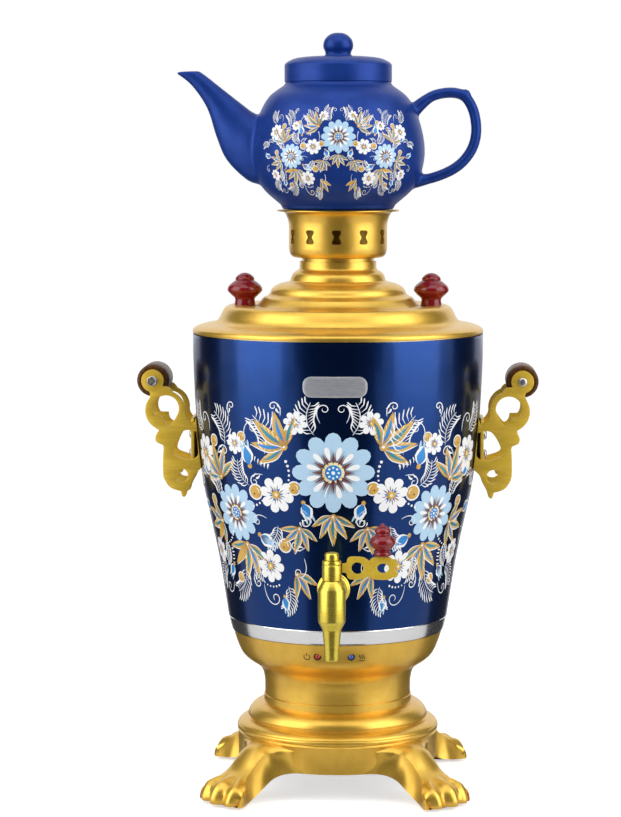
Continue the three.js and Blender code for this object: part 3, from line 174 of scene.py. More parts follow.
def turned(name, profile, steps=96):  # spun about Z from a line of vertices
    pick()
    bpy.ops.mesh.primitive_plane_add(size=mm)
    piece = bpy.context.object
    piece.name = name
    bpy.ops.object.mode_set(mode="EDIT")
    bpy.ops.mesh.select_mode(type="VERT")
    bpy.ops.mesh.select_all(action="SELECT")
    bpy.ops.mesh.merge(type="CENTER")
    r, z = profile[0]
    bpy.ops.transform.translate(value=(r * mm, 0, z * mm))
    for nextR, nextZ in profile[1:]:
        step = ((nextR - r) * mm, 0, (nextZ - z) * mm)
        bpy.ops.mesh.extrude_vertices_move(TRANSFORM_OT_translate={"value": step})
        r, z = nextR, nextZ
    bpy.ops.mesh.select_all(action="SELECT")
    bpy.ops.mesh.spin(steps=steps, angle=math.tau, center=(0, 0, 0), axis=(0, 0, 1))
    return cleaned(piece)


def plate(name, depth, outer, *holes, edge=0.25):  # cut in X and Z, its thickness along Y
    line = bpy.data.curves.new(name, "CURVE")
    line.dimensions = "2D"
    line.fill_mode = "BOTH"
    line.extrude = (depth / 2 - edge) * mm
    line.bevel_depth = edge * mm
    line.bevel_resolution = 1
    line.offset = -edge * mm
    for loop in (outer, *holes):
        spline = line.splines.new("POLY")
        spline.points.add(len(loop) - 1)
        for point, (x, z) in zip(spline.points, loop):
            point.co = (x * mm, z * mm, 0, 1)
        spline.use_cyclic_u = True
    piece = bpy.data.objects.new(name, line)
    scene.collection.objects.link(piece)
    pick(piece)
    bpy.ops.object.convert(target="MESH")
    return cleaned(place(bpy.context.object, turn=(90, 0, 0)))


def sheetOf(name, columns, rows, spot):  # a grid whose every vertex goes where spot(a, b) says
    pick()
    bpy.ops.mesh.primitive_grid_add(x_subdivisions=columns, y_subdivisions=rows, size=1)
    piece = bpy.context.object
    piece.name = name
    for vertex in piece.data.vertices:
        vertex.co = Vector(spot(vertex.co.x + 0.5, vertex.co.y + 0.5)) * mm
    return piece


def lofted(name, rings):  # closed rings of points, bridged and capped
    count = len(rings[0])

    def spot(a, b):
        ring = rings[round(a * (len(rings) - 1))]
        return ring[round(b * count) % count]

    piece = sheetOf(name, len(rings) - 1, count, spot)
    cleaned(piece)
    pick(piece)
    bpy.ops.object.mode_set(mode="EDIT")
    bpy.ops.mesh.select_mode(type="EDGE")
    bpy.ops.mesh.select_all(action="DESELECT")
    bpy.ops.mesh.select_non_manifold()
    bpy.ops.mesh.edge_face_add()
    bpy.ops.object.mode_set(mode="OBJECT")
    return cleaned(piece)


def radiusAt(profile, z):
    for (r0, z0), (r1, z1) in zip(profile, profile[1:]):
        if z0 <= z <= z1 and z1 > z0:
            return r0 + (r1 - r0) * (z - z0) / (z1 - z0)
    return profile[0][0] if z < profile[0][1] else profile[-1][0]


# helpers: materials

def material(name, **sockets):
    made = bpy.data.materials.new(name)
    made.use_nodes = True
    shader = made.node_tree.nodes["Principled BSDF"]
    for socket, value in sockets.items():
        shader.inputs[socket.replace("_", " ")].default_value = value
    return made, shader


def noise(made, scale, detail=3, stretch=(1, 1, 1), on="Object"):
    nodes, link = made.node_tree.nodes, made.node_tree.links.new
    where = nodes.new("ShaderNodeTexCoord")
    mapping = nodes.new("ShaderNodeMapping")
    mapping.inputs["Scale"].default_value = stretch
    grain = nodes.new("ShaderNodeTexNoise")
    grain.inputs["Scale"].default_value = scale
    grain.inputs["Detail"].default_value = detail
    link(where.outputs[on], mapping.inputs["Vector"])
    link(mapping.outputs["Vector"], grain.inputs["Vector"])
    return grain.outputs["Fac"]


def spread(made, source, low, high, start=0.3, end=0.7):  # a value, or a colour, between two ends
    nodes, link = made.node_tree.nodes, made.node_tree.links.new
    if isinstance(low, tuple):
        ramp = nodes.new("ShaderNodeValToRGB")
        ramp.color_ramp.elements[0].position, ramp.color_ramp.elements[0].color = start, (*low, 1)
        ramp.color_ramp.elements[1].position, ramp.color_ramp.elements[1].color = end, (*high, 1)
        link(source, ramp.inputs["Fac"])
        return ramp.outputs["Color"]
    remap = nodes.new("ShaderNodeMapRange")
    remap.inputs["From Min"].default_value = start
    remap.inputs["From Max"].default_value = end
    remap.inputs["To Min"].default_value = low
    remap.inputs["To Max"].default_value = high
    link(source, remap.inputs["Value"])
    return remap.outputs["Result"]


def calc(made, operation, *values):  # a math node on sockets or plain numbers
    node = made.node_tree.nodes.new("ShaderNodeMath")
    node.operation = operation
    for socket, value in zip(node.inputs, values):
        if isinstance(value, float):
            socket.default_value = value
        else:
            made.node_tree.links.new(value, socket)
    return node.outputs["Value"]


def relief(made, shader, source, strength, distance=0.1):
    nodes, link = made.node_tree.nodes, made.node_tree.links.new
    bump = nodes.new("ShaderNodeBump")
    bump.inputs["Strength"].default_value = strength
    bump.inputs["Distance"].default_value = distance * mm
    link(source, bump.inputs["Height"])
    link(bump.outputs["Normal"], shader.inputs["Normal"])


def finish(name, low, high, rough, grain, bump=0.1, stretch=(1, 1, 1), **sockets):
    # colour drifts between low and high, roughness between the two ends of rough, over a fine relief
    made, shader = material(name, **sockets)
    link = made.node_tree.links.new
    drift = noise(made, grain / 6, 3, stretch)
    link(spread(made, drift, low, high), shader.inputs["Base Color"])
    fine = noise(made, grain, 4, stretch)
    link(spread(made, fine, rough[0], rough[1]), shader.inputs["Roughness"])
    relief(made, shader, fine, bump)
    return made


goldPaint = finish("goldPaint", (0.69, 0.42, 0.055), (0.76, 0.47, 0.072), (0.30, 0.36), 900, 0.05,
    Metallic=0.8, Coat_Weight=0.24, Coat_Roughness=0.2)
cobaltEnamel = finish("cobaltEnamel", (0.0075, 0.035, 0.155), (0.009, 0.040, 0.175), (0.20, 0.25), 500,
    0.02, Metallic=0.93, Coat_Weight=0.14, Coat_Roughness=0.06)
blueGlaze = finish("blueGlaze", (0.006, 0.034, 0.215), (0.009, 0.044, 0.26), (0.36, 0.44), 700, 0.06,
    Metallic=0.35, Specular_IOR_Level=0.18, Coat_Weight=0.06, Coat_Roughness=0.3)
tapBrass = finish("tapBrass", (0.64, 0.50, 0.06), (0.72, 0.57, 0.09), (0.25, 0.31), 500, 0.015,
    stretch=(1, 1, 12), Metallic=0.85)
bracketBrass = finish("bracketBrass", (0.68, 0.44, 0.035), (0.76, 0.51, 0.055), (0.28, 0.36), 600, 0.04,
    stretch=(1, 1, 6), Metallic=0.3, Coat_Weight=0.1)
leverBrass = finish("leverBrass", (0.80, 0.54, 0.04), (0.88, 0.61, 0.06), (0.26, 0.34), 600, 0.02,
    stretch=(6, 1, 1), Metallic=0.4, Coat_Weight=0.1)
polishedBand = finish("polishedBand", (0.74, 0.74, 0.75), (0.80, 0.80, 0.81), (0.14, 0.20), 900, 0.02,
    stretch=(1, 1, 14), Metallic=1.0)
knobRed = finish("knobRed", (0.17, 0.003, 0.007), (0.21, 0.005, 0.010), (0.18, 0.22), 300, 0.005,
    Specular_IOR_Level=0.35, Coat_Weight=0.4, Coat_Roughness=0.06)
plainSteel = finish("plainSteel", (0.55, 0.55, 0.56), (0.66, 0.66, 0.67), (0.30, 0.42), 700, 0.1,
    Metallic=1.0)
tankSteel = finish("tankSteel", (0.62, 0.62, 0.63), (0.72, 0.72, 0.73), (0.24, 0.34), 500, 0.1,
    stretch=(1, 1, 20), Metallic=1.0)
plateMetal = finish("plateMetal", (0.28, 0.29, 0.32), (0.38, 0.39, 0.42), (0.28, 0.36), 900, 0.08,
    stretch=(1, 1, 16), Metallic=0.35)
plateRim = finish("plateRim", (0.56, 0.57, 0.60), (0.66, 0.67, 0.70), (0.16, 0.24), 600, 0.05, Metallic=0.5)
rubber = finish("rubber", (0.006, 0.006, 0.006), (0.012, 0.012, 0.012), (0.62, 0.78), 1600, 0.4)
blackPlastic = finish("blackPlastic", (0.008, 0.008, 0.009), (0.014, 0.014, 0.015), (0.34, 0.46), 2200, 0.3)
redPlastic = finish("redPlastic", (0.36, 0.008, 0.006), (0.42, 0.014, 0.010), (0.20, 0.28), 1200, 0.06)
brownPlastic = finish("brownPlastic", (0.016, 0.006, 0.004), (0.028, 0.010, 0.006), (0.32, 0.44), 1500, 0.2)
silicone = finish("silicone", (0.66, 0.64, 0.58), (0.72, 0.70, 0.64), (0.5, 0.62), 1400, 0.2)
boardGreen = finish("boardGreen", (0.006, 0.085, 0.022), (0.010, 0.11, 0.03), (0.3, 0.5), 1200, 0.15)
wireRed = finish("wireRed", (0.26, 0.012, 0.007), (0.32, 0.018, 0.010), (0.36, 0.46), 900, 0.1)
wireBlue = finish("wireBlue", (0.012, 0.03, 0.24), (0.018, 0.04, 0.30), (0.36, 0.46), 900, 0.1)
sheath = finish("sheath", (0.10, 0.09, 0.08), (0.17, 0.15, 0.13), (0.36, 0.52), 700, 0.2, Metallic=1.0)
thermostatBody = finish("thermostatBody", (0.010, 0.008, 0.007), (0.02, 0.015, 0.013), (0.5, 0.6), 900, 0.2)
printInk = finish("printInk", (0.030, 0.014, 0.004), (0.045, 0.022, 0.007), (0.4, 0.5), 900, 0.05)
redLens = finish("redLens", (0.30, 0.008, 0.008), (0.36, 0.012, 0.01), (0.1, 0.16), 900, 0.03,
    Coat_Weight=0.6)
blueLens = finish("blueLens", (0.012, 0.06, 0.34), (0.016, 0.08, 0.40), (0.1, 0.16), 900, 0.03,
    Coat_Weight=0.6)
rollerWood = finish("rollerWood", (0.040, 0.014, 0.004), (0.130, 0.052, 0.014), (0.36, 0.46), 420, 0.12,
    stretch=(6, 0.5, 6), Specular_IOR_Level=0.25, Coat_Weight=0.1, Coat_Roughness=0.2)


def paint(name, root, tip, start=0.1, end=0.5):  # enamel paint whose colour runs along each brush stroke
    made, shader = material(name, Roughness=0.42, Coat_Weight=0.35, Coat_Roughness=0.1)
    nodes, link = made.node_tree.nodes, made.node_tree.links.new
    where = nodes.new("ShaderNodeTexCoord")
    split = nodes.new("ShaderNodeSeparateXYZ")
    link(where.outputs["UV"], split.inputs["Vector"])
    hairs = noise(made, 1.0, 2, (2.2, 11, 1), on="UV")
    run = calc(made, "MULTIPLY_ADD", hairs, 0.5, split.outputs["X"])
    link(spread(made, run, root, tip, start + 0.25, end + 0.25), shader.inputs["Base Color"])
    relief(made, shader, hairs, 0.25, 0.05)
    return made


paints = {
    "White": paint("paintWhite", (0.50, 0.58, 0.72), (0.86, 0.87, 0.88), 0.0, 0.3),
    "Sky": paint("paintSky", (0.10, 0.018, 0.018), (0.42, 0.62, 0.80), 0.22, 0.5),
    "Ochre": paint("paintOchre", (0.40, 0.20, 0.022), (0.62, 0.36, 0.055)),
    "Teal": paint("paintTeal", (0.008, 0.14, 0.24), (0.012, 0.24, 0.34)),
    "Blue": paint("paintBlue", (0.004, 0.15, 0.46), (0.004, 0.23, 0.62)),
    "Brown": paint("paintBrown", (0.10, 0.02, 0.018), (0.17, 0.04, 0.03)),
    "Cream": paint("paintCream", (0.62, 0.46, 0.17), (0.86, 0.74, 0.42), 0.0, 0.4),
}
print("materials ready")


# camera: a long lens 1.82 m from the axis, 438 mm up, looking 5.5 degrees down

view = {"distance": 1.82, "height": 0.438, "azimuth": 1.8, "down": 5.5056, "aside": 0.599, "lens": 115.89}
bpy.ops.object.camera_add()
camera = bpy.context.object
camera.name = "camera"
camera.data.lens = view["lens"]
camera.data.sensor_width = 36
around = math.radians(view["azimuth"])
camera.location = (view["distance"] * math.sin(around), axisY - view["distance"] * math.cos(around),
    view["height"])
camera.rotation_euler = (math.radians(90 - view["down"]), 0, math.radians(view["azimuth"] + view["aside"]))
scene.camera = camera


# base: collar, two rolled rings and skirt, with four lion paws swept out of it

base = {"skirtRadius": 69.4, "skirtLow": 19.5, "grooveDepth": 4.4, "toesFrom": 97, "toesFull": 106}
ringProfile = [
    (base["skirtRadius"], base["skirtLow"]), (69.5, 36.9),
    *smooth((69.7, 37.2), (70.1, 37.8), (69.5, 38.4), per=3),
    *smooth((69.3, 38.8), (70.0, 39.6), (70.3, 40.9), (70.1, 41.8), per=3),
    (69.6, 42.2), *smooth((69.8, 42.6), (69.1, 43.7), (67.2, 45.1), (64.6, 46.0), (62.6, 46.4)),
    (61.9, 46.9), (61.9, 47.6), *smooth((62.5, 48.2), (62.6, 49.6), (61.2, 52.6), (58.5, 55.4),
        (55.0, 57.2), (52.2, 57.7)),
    (51.5, 57.9), (51.5, 62.8), (51.1, 63.2), (48.4, 63.2), (48.4, 56.5), (57.5, 52), (59.4, 46.5),
    (66.8, 41.5), (66.8, base["skirtLow"]), (base["skirtRadius"], base["skirtLow"]),
]
plinth = turned("plinth", ringProfile, 128)

# each station of a leg: top centre, crease, lower edge of the flank, and the middle of its underside
legStations = smooth(
    (58.0, 39.6, 52.0, 36.0, 36.0, 56.0, 38.0, 19.7, 60.0, 23.0),
    (66.0, 38.6, 63.5, 27.0, 34.6, 61.0, 33.0, 19.6, 64.0, 22.6),
    (71.5, 37.6, 68.8, 18.8, 33.3, 66.0, 25.6, 19.3, 69.0, 22.0),
    (76.0, 36.4, 74.0, 13.2, 32.6, 71.4, 20.4, 18.0, 73.5, 21.2),
    (80.5, 34.2, 79.4, 11.3, 31.4, 76.6, 16.4, 14.8, 78.0, 19.4),
    (86.0, 29.2, 84.9, 10.6, 27.4, 82.0, 13.4, 9.0, 81.6, 14.4),
    (92.0, 22.6, 90.6, 10.7, 22.0, 89.4, 12.2, 3.6, 85.4, 5.2),
    (97.0, 19.4, 96.4, 12.2, 17.9, 96.6, 14.6, 1.6, 92.0, 1.5),
    (103.0, 18.1, 101.9, 17.0, 14.6, 102.2, 18.2, 1.5, 99.0, 1.5),
    (108.6, 16.8, 106.4, 20.0, 11.3, 106.8, 20.4, 1.5, 104.0, 1.5),
    (113.2, 13.4, 108.4, 20.5, 7.8, 108.6, 20.5, 1.5, 106.0, 1.5),
    (116.2, 8.4, 109.8, 20.0, 4.6, 109.6, 20.0, 1.5, 107.0, 1.5),
    (117.2, 4.2, 110.6, 19.4, 2.4, 110.2, 19.4, 1.5, 107.6, 1.5),
    (116.6, 1.9, 110.4, 18.6, 1.7, 110.2, 18.6, 1.5, 108.0, 1.5),
    per=4)
toes = ((-0.69, 0.31), (0.0, 0.36), (0.69, 0.31))  # the middle and half width of each toe, across the paw


def legRing(row):
    topS, topZ, creaseS, creaseW, creaseZ, edgeS, edgeW, edgeZ, lowS, lowZ = row
    ring = []
    across = 24
    # how far the toes are parted here
    forward = min(max((topS - base["toesFrom"]) / (base["toesFull"] - base["toesFrom"]), 0), 1)
    down = min(max((16 - topZ) / 8, 0), 1)  # 0 on top of the paw, 1 on its front
    for i in range(across + 1):
        t = -1 + 2 * i / across
        bow = t * t
        s, w, z = topS + (creaseS - topS) * bow, creaseW * t, topZ + (creaseZ - topZ) * abs(t) ** 2.4
        middle, half = min(toes, key=lambda toe: abs(t - toe[0]) / toe[1])
        off = min(abs(t - middle) / half, 1)
        dip = base["grooveDepth"] * forward * off ** 1.7
        ring.append((s - dip * (0.35 + 0.65 * down), w, max(z - dip * (1 - down) * 0.8, 1.5)))
    flank = 5
    side = []
    for i in range(1, flank + 1):
        t = i / flank
        hollow = math.sin(math.pi * t) * 0.10 * max(edgeW - creaseW, 0)
        side.append((creaseS + (edgeS - creaseS) * t, creaseW + (edgeW - creaseW) * t ** 1.4 - hollow,
            creaseZ + (edgeZ - creaseZ) * t))
    under = [(lowS + (edgeS - lowS) * t * t, edgeW * t, lowZ + (edgeZ - lowZ) * t * t)
        for t in (0.88, 0.6, 0.3)]
    right = [*side, *under]
    left = [(s, -w, z) for s, w, z in reversed(right)]
    return [*ring, *right, (lowS, 0, lowZ), *left]


leg = lofted("leg", [legRing(row) for row in legStations])
legs = [leg] + [twin(leg, "legCopy") for i in range(3)]
for i, oneLeg in enumerate(legs):
    place(oneLeg, turn=(0, 0, 45 + 90 * i))
casting = onAxis(together("casting", plinth, *legs))
dress(casting, goldPaint, "samovar", "gold_paint", "base_casting", angle=38)
print("base ready")


# control bowl with its rear panel and lights

bowl = {"wall": 2.2, "panelReach": 74.5, "panelZ": 95.45, "lightX": 11.4, "lightZ": 101, "signX": 18.8,
    "signRound": 70, "signSunk": 0.06}
bowlOuter = [
    (50.4, 61.6), (50.4, 63.5), (50.9, 63.7), *smooth((50.9, 64.2), (50.9, 69), (51.2, 74.2), (52.4, 79.4),
        (54.6, 83.0)),
    *smooth((55.6, 83.9), (58.6, 86.0), (62.6, 88.7), (66.0, 91.9), (68.2, 95.4), (70.1, 100),
        (72.0, 105.6), (72.8, 108.4)),
    (73.0, 109.0),
]
bowlShell = turned("bowlShell", walled(bowlOuter, bowl["wall"]), 128)
panel = plate("panel", 30, [
    *arc(28, 8.75, 3, 90, 0, 5), *arc(28, -9.75, 3, 0, -90, 5), *arc(-28, -9.75, 3, -90, -180, 5),
    *arc(-28, 8.75, 3, 180, 90, 5)], edge=0.8)
place(panel, (0, bowl["panelReach"] - 15, bowl["panelZ"]))
cutters = []
for name, depth, wide, tall, x, back in (
        ("pocket", 40, 27, 10, 0, -20 - bowl["wall"]),
        ("inletHole", 20, 13.3, 9.8, -12.5, 0),
        ("switchHole", 20, 6.8, 9.8, 17.5, 0)):
    cutter = plate(name, depth, [(-wide, -tall), (wide, -tall), (wide, tall), (-wide, tall)], edge=0.01)
    cutters.append(place(cutter, (x, bowl["panelReach"] + back, bowl["panelZ"])))
subtract(panel, *cutters)
controlBowl = onAxis(together("controlBowl", bowlShell, panel))
dress(controlBowl, goldPaint, "samovar", "gold_paint", "control_bowl", angle=38)

for name, side, glow, slotName, node in (
        ("lightBoil", -1, redLens, "red_lens", "indicator_lens_boil"),
        ("lightWarm", 1, blueLens, "blue_lens", "indicator_lens_warm")):
    light = turned(name, [(0, 0), (1.7, 0), (1.7, 9.0),
        *smooth((1.7, 9.2), (1.5, 10.0), (0.9, 10.5), (0, 10.7), per=3)], 24)
    place(light, (bowl["lightX"] * side, -60.6, bowl["lightZ"]), (90, 0, 0))
    dress(onAxis(light), glow, "samovar", slotName, node)
    bezel = turned(name + "Bezel", [(1.75, 0), (2.7, 0), (2.7, 1.6), (2.3, 2.1), (1.9, 2.1), (1.75, 1.8),
        (1.75, 0)], 24)
    place(bezel, (bowl["lightX"] * side, -68.0, bowl["lightZ"]), (90, 0, 0))
    dress(onAxis(bezel), printInk, "samovar", "gold_paint")
for node, name, look, slotName, rides in (
        ("power_inlet", "mainsInlet", blackPlastic, "black_plastic", "samovar"),
        ("switch_housing", "switchFrame", blackPlastic, "black_plastic", "samovar"),
        ("switch_rocker", "switchKey", redPlastic, "red_plastic", "rocker")):
    dress(fromCad(node, name, 0.4), look, rides, slotName, node)
for side in ("live", "neutral", "earth"):
    dress(fromCad("inlet_pin_" + side, side + "Pin", 0.25), tapBrass, "samovar", "pin_metal",
        "inlet_pin_" + side)
print("control bowl ready")


# band and kettle body

bandOuter = [(73.7, 109.5), *smooth((74.0, 110.0), (74.9, 113.4), (75.9, 117.6), (76.3, 118.9), per=4)]
band = turned("band", [
    (68.2, 106.5), (69.4, 106.5), (69.4, 109.4), *bandOuter, (76.1, 119.3), (74.9, 119.3), (74.9, 122.6),
    (73.6, 122.6), (73.6, 111), (68.2, 111), (68.2, 106.5)], 160)
dress(onAxis(band), polishedBand, "samovar", "polished_band", "trim_band")

body = {"wall": 1.1, "tankWall": 1.0, "tankGap": 6.3}
bodyOuter = smooth((76.3, 119.6), (82.1, 156.8), (87.9, 184.7), (93.2, 209.6), (97.0, 238.9), (99.0, 268.3),
    (100.2, 295.6), (100.4, 314.6), per=6)
bodyShell = turned("kettleBody", walled([(75.9, 119.6), *bodyOuter, (100.34, 315.2)], body["wall"]), 160)
dress(onAxis(bodyShell), cobaltEnamel, "samovar", "cobalt_enamel", "body_shell")

tankSide = [(r - body["tankGap"], z) for r, z in bodyOuter if 140 < z < 312]
tankOuter = [(0, 130.5), (62, 130.5), *smooth((64, 130.5), (70.2, 133), (73.2, 138.5), per=3), *tankSide,
    (94.2, 315.3), (98.85, 315.5)]
dress(onAxis(turned("waterTank", walled(tankOuter, body["tankWall"]), 128)), tankSteel, "samovar",
    "tank_steel", "inner_tank")
print("body ready")


# small bare plate on the body's front

pill = {"width": 42.7, "height": 13.8, "corner": 5.6, "z": 286.2, "x": 1.2}


def pillSheet(name, inset, thick, lift):
    width, height = pill["width"] / 2 - inset, pill["height"] / 2 - inset
    corner = pill["corner"] - inset

    def spot(a, b):
        v = math.sin((b - 0.5) * math.pi) * height
        over = max(abs(v) - (height - corner), 0)
        reach = width - corner + math.sqrt(max(corner ** 2 - over ** 2, 0))
        angle = ((a * 2 - 1) * reach + pill["x"]) / 100
        r = radiusAt(bodyOuter, pill["z"] + v) + lift
        return r * math.sin(angle), -r * math.cos(angle), pill["z"] + v

    sheet = sheetOf(name, 40, 14, spot)
    modify(cleaned(sheet), "SOLIDIFY", thickness=thick * mm, offset=1)
    cleaned(sheet)
    return onAxis(sheet)


pillBack = softEdges(pillSheet("plateRim", 0, 0.62, 0.06), 0.25, 3)
dress(pillBack, plateRim, "samovar", "badge_metal", "badge_plate")
dress(softEdges(pillSheet("plateFace", 1.1, 0.16, 0.6), 0.06), plateMetal, "samovar", "badge_metal")
print("plate ready")


# tap: body and spout, rosette, turning key with cap, lever and knob

tap = {"y": -122.0, "shankZ": 150.0, "rosetteY": -84.9, "leverZ": 169.9, "knobX": 33.1, "knobZ": 177.9}
barrel = turned("tapBody", [
    (3.0, 108.5), (4.4, 108.5), (4.6, 108.9), *smooth((4.7, 110.5), (5.2, 118), (6.0, 126.5), (6.2, 128.6),
        per=4),
    *smooth((6.5, 129.6), (8.8, 134.2), (9.1, 135.6), per=3), (9.15, 137.0), (9.15, 155.4), (8.7, 156.6),
    (6.7, 160.4), (6.2, 161.1), (5.9, 161.5), (4.5, 161.5), (4.5, 141.6), (3.0, 141.6), (3.0, 108.5)], 64)
place(barrel, (0, tap["y"], 0))
shank = turned("shank", [(3.0, 6.5), (5.6, 6.5), (5.6, 72.0), (3.0, 72.0), (3.0, 6.5)], 48)
place(shank, (0, tap["y"], tap["shankZ"]), (-90, 0, 0))
dress(onAxis(together("tapBody", barrel, shank)), tapBrass, "samovar", "tap_brass", "tap_body")
rosette = turned("rosette", [
    (5.9, 0), (10.6, 0), (11, 0.4), (11, 2.0),
    *smooth((10.6, 2.5), (9.2, 3.2), (8.8, 4.4), (8.2, 5.7), per=3), (7.6, 6), (5.9, 6), (5.9, 0)], 48)
place(rosette, (0, tap["rosetteY"], tap["shankZ"]), (90, 0, 0))
dress(onAxis(rosette), tapBrass, "samovar", "tap_brass", "tap_rosette")

key = turned("tapKey", [
    (0, 141.8), (4.3, 141.8), (4.3, 161.8), (6.1, 161.8), (6.35, 162.1), (6.35, 171.0),
    *smooth((6.3, 171.3), (6.0, 171.9), (6.3, 172.5), per=2), (6.35, 173.8), (5.9, 174.8), (0, 174.8)], 64)
dress(onAxis(place(key, (0, tap["y"], 0))), tapBrass, "tap_key", "tap_brass", "tap_plug")
cap = turned("tapCap", [
    (0, 175.1), (4.7, 175.1), (4.7, 178.2), *smooth((4.6, 178.7), (4.0, 179.7), (2.6, 180.1), per=3),
    (0, 180.1)], 48)
dress(onAxis(place(cap, (0, tap["y"], 0))), tapBrass, "tap_key", "tap_brass", "tap_cap")

leverTop = smooth((6.7, 2.9), (9.4, 3.1), per=1) + smooth(
    (9.7, 4.0), (10.4, 6.4), (12.4, 7.4), (16.6, 7.5), (19.8, 7.2), (22.6, 6.2), (24.0, 4.9),
    per=4) + smooth(
    (24.5, 4.9), (26.4, 6.8), (30.0, 7.5), (35.4, 7.5), (38.4, 6.9), (40.0, 5.8), (41.8, 5.9), (42.9, 4.2),
    (42.2, 1.9), (40.6, 0), per=3)
leverOutline = leverTop + [(x, -z) for x, z in reversed(leverTop[:-1])]
leverHoles = [arc(16.7, 0, 3.9, 0, -345, 23), [(33.4 + x * 1.2, z) for x, z in arc(0, 0, 3.2, 0, -345, 23)]]
lever = plate("tapLever", 3, leverOutline, *leverHoles, edge=0.35)
dress(onAxis(place(lever, (0, tap["y"], tap["leverZ"]))), leverBrass, "tap_key", "tap_brass", "tap_lever")

knobProfile = [
    (0, 0), (4.6, 0), *smooth((5.4, 0.4), (5.7, 1.4), (5.2, 2.6), (4.5, 3.2), per=3),
    *smooth((4.7, 3.9), (6.8, 6.0), (8.4, 8.6), (8.4, 10.3), (6.9, 12.6), (4.6, 14.2), per=4),
    *smooth((4.3, 14.8), (5.1, 15.8), (5.2, 17.0), (4.3, 18.4), (2.3, 19.6), (1.5, 20.4), (0.9, 21.2),
        (0, 21.4), per=3)]
tapKnob = place(turned("tapKnob", knobProfile, 64), (tap["knobX"], tap["y"], tap["knobZ"]))
dress(onAxis(tapKnob), knobRed, "tap_key", "knob_red", "tap_knob")
print("tap ready")


# side handles: the right one is modelled, the left one is its copy turned half round

handle = {"cheekY": 17.8, "gauge": 2.4, "rollerX": 127.3, "rollerZ": 283.0, "webX": 99.8, "screwX": 101.0}
cheekOutline = [
    *smooth((97.2, 258.0), (98.4, 254.4), (99.6, 252.5), (101.2, 254.4), (103.2, 256.6), (104.6, 259.0),
        per=3)[:-1],
    *arc(118.6, 262.5, 13.9, 188, 112, 10),
    *smooth((113.6, 276.0), (115.6, 278.4), (118.2, 279.4), per=3)[:-1],
    *arc(127.3, 283.0, 7.8, 207, -72, 26),
    *smooth((129.4, 275.0), (129.0, 273.6), (129.4, 271.7), per=2)[:-1],
    *arc(118.6, 262.5, 13.9, 40, -62, 12),
    *smooth((124.4, 249.6), (123.2, 248.6), (124.8, 246.2), (125.6, 243.2), (124.6, 240.4), (121.6, 239.0),
        (120.0, 237.3), (120.3, 230.0), (120.3, 218.4), (118.8, 213.5), (115.6, 209.2), (111.2, 207.2),
        (108.2, 206.4), (107.6, 204.2), (106.7, 202.6), (105.4, 202.6), (104.0, 204.4), (102.9, 208.2),
        (100.0, 213.6), (98.0, 218.6), (94.6, 221.8), per=4)[1:],
    *[(math.sqrt((radiusAt(bodyOuter, z) + 0.5) ** 2 - 19 ** 2), z) for z in (223, 232, 241, 250, 257)],
]
cheekHoles = [
    arc(118.1, 264.0, 9.0, -38, 214, 22) + smooth(
        (111.2, 257.6), (113.6, 254.4), (116.0, 252.0), (118.4, 253.8), (119.4, 256.4), (119.6, 258.3),
        per=2),
    smooth((96.9, 247.6), (100.6, 248.9), (105.7, 248.5), (109.6, 244.0), (112.4, 238.0), (113.6, 233.4),
        (111.8, 231.2), (107.6, 229.6), (103.4, 228.5), (99.2, 229.0), (96.2, 231.6), (95.8, 234.0), per=3),
    arc(107.8, 217.5, 4.7, 20, 330, 20) + smooth((110.4, 215.2), (109.4, 217.4), (110.6, 218.8), per=2),
]
cheekFront = place(plate("cheekFront", handle["gauge"], cheekOutline, *cheekHoles, edge=0.3),
    (0, -handle["cheekY"], 0))
cheekRear = place(twin(cheekFront, "cheekRear"), (0, 2 * handle["cheekY"], 0))
web = plate("web", 2.2, [*arc(15.2, 254.0, 3.4, 0, 90, 4), *arc(-15.2, 254.0, 3.4, 90, 180, 4),
    *arc(-15.2, 225.6, 3.4, 180, 270, 4), *arc(15.2, 225.6, 3.4, 270, 360, 4)], edge=0.3)
place(web, (handle["webX"], 0, 0), (0, 0, 90))
bracket = together("bracket", cheekFront, cheekRear, web)

rollerEnd = [(2.4, 15.7), (8.4, 15.7), *smooth((9.4, 16.1), (10.4, 15.8), (11.1, 14.6), per=3)]
roller = turned("roller", [
    *rollerEnd, (11.1, 0), *[(r, -y) for r, y in reversed(rollerEnd)], rollerEnd[0]], 64)
place(roller, (handle["rollerX"], 0, handle["rollerZ"]), (90, 0, 0))
bolt = turned("bolt", [
    (0, 21.7), (2.0, 21.7), (2.0, -19.2), (3.2, -19.2), (3.2, -19.7),
    *smooth((3.1, -20.0), (2.3, -20.8), (0, -21.1), per=3)], 32)
place(bolt, (handle["rollerX"], 0, handle["rollerZ"]), (-90, 0, 0))
nut = fromCad("handle_nut_right", "nut", 0.3)
place(nut, (0, -axisY / mm, 0))
screwHead = turned("screw", [(0, -7), (1.7, -7), (1.7, 0.3), (3.1, 0.3), (3.1, 1.1),
    *smooth((3.0, 1.5), (2.3, 2.2), (1.4, 2.5), per=3), (1.3, 1.4), (0, 1.4)], 32)
place(screwHead, turn=(0, 90, 0))
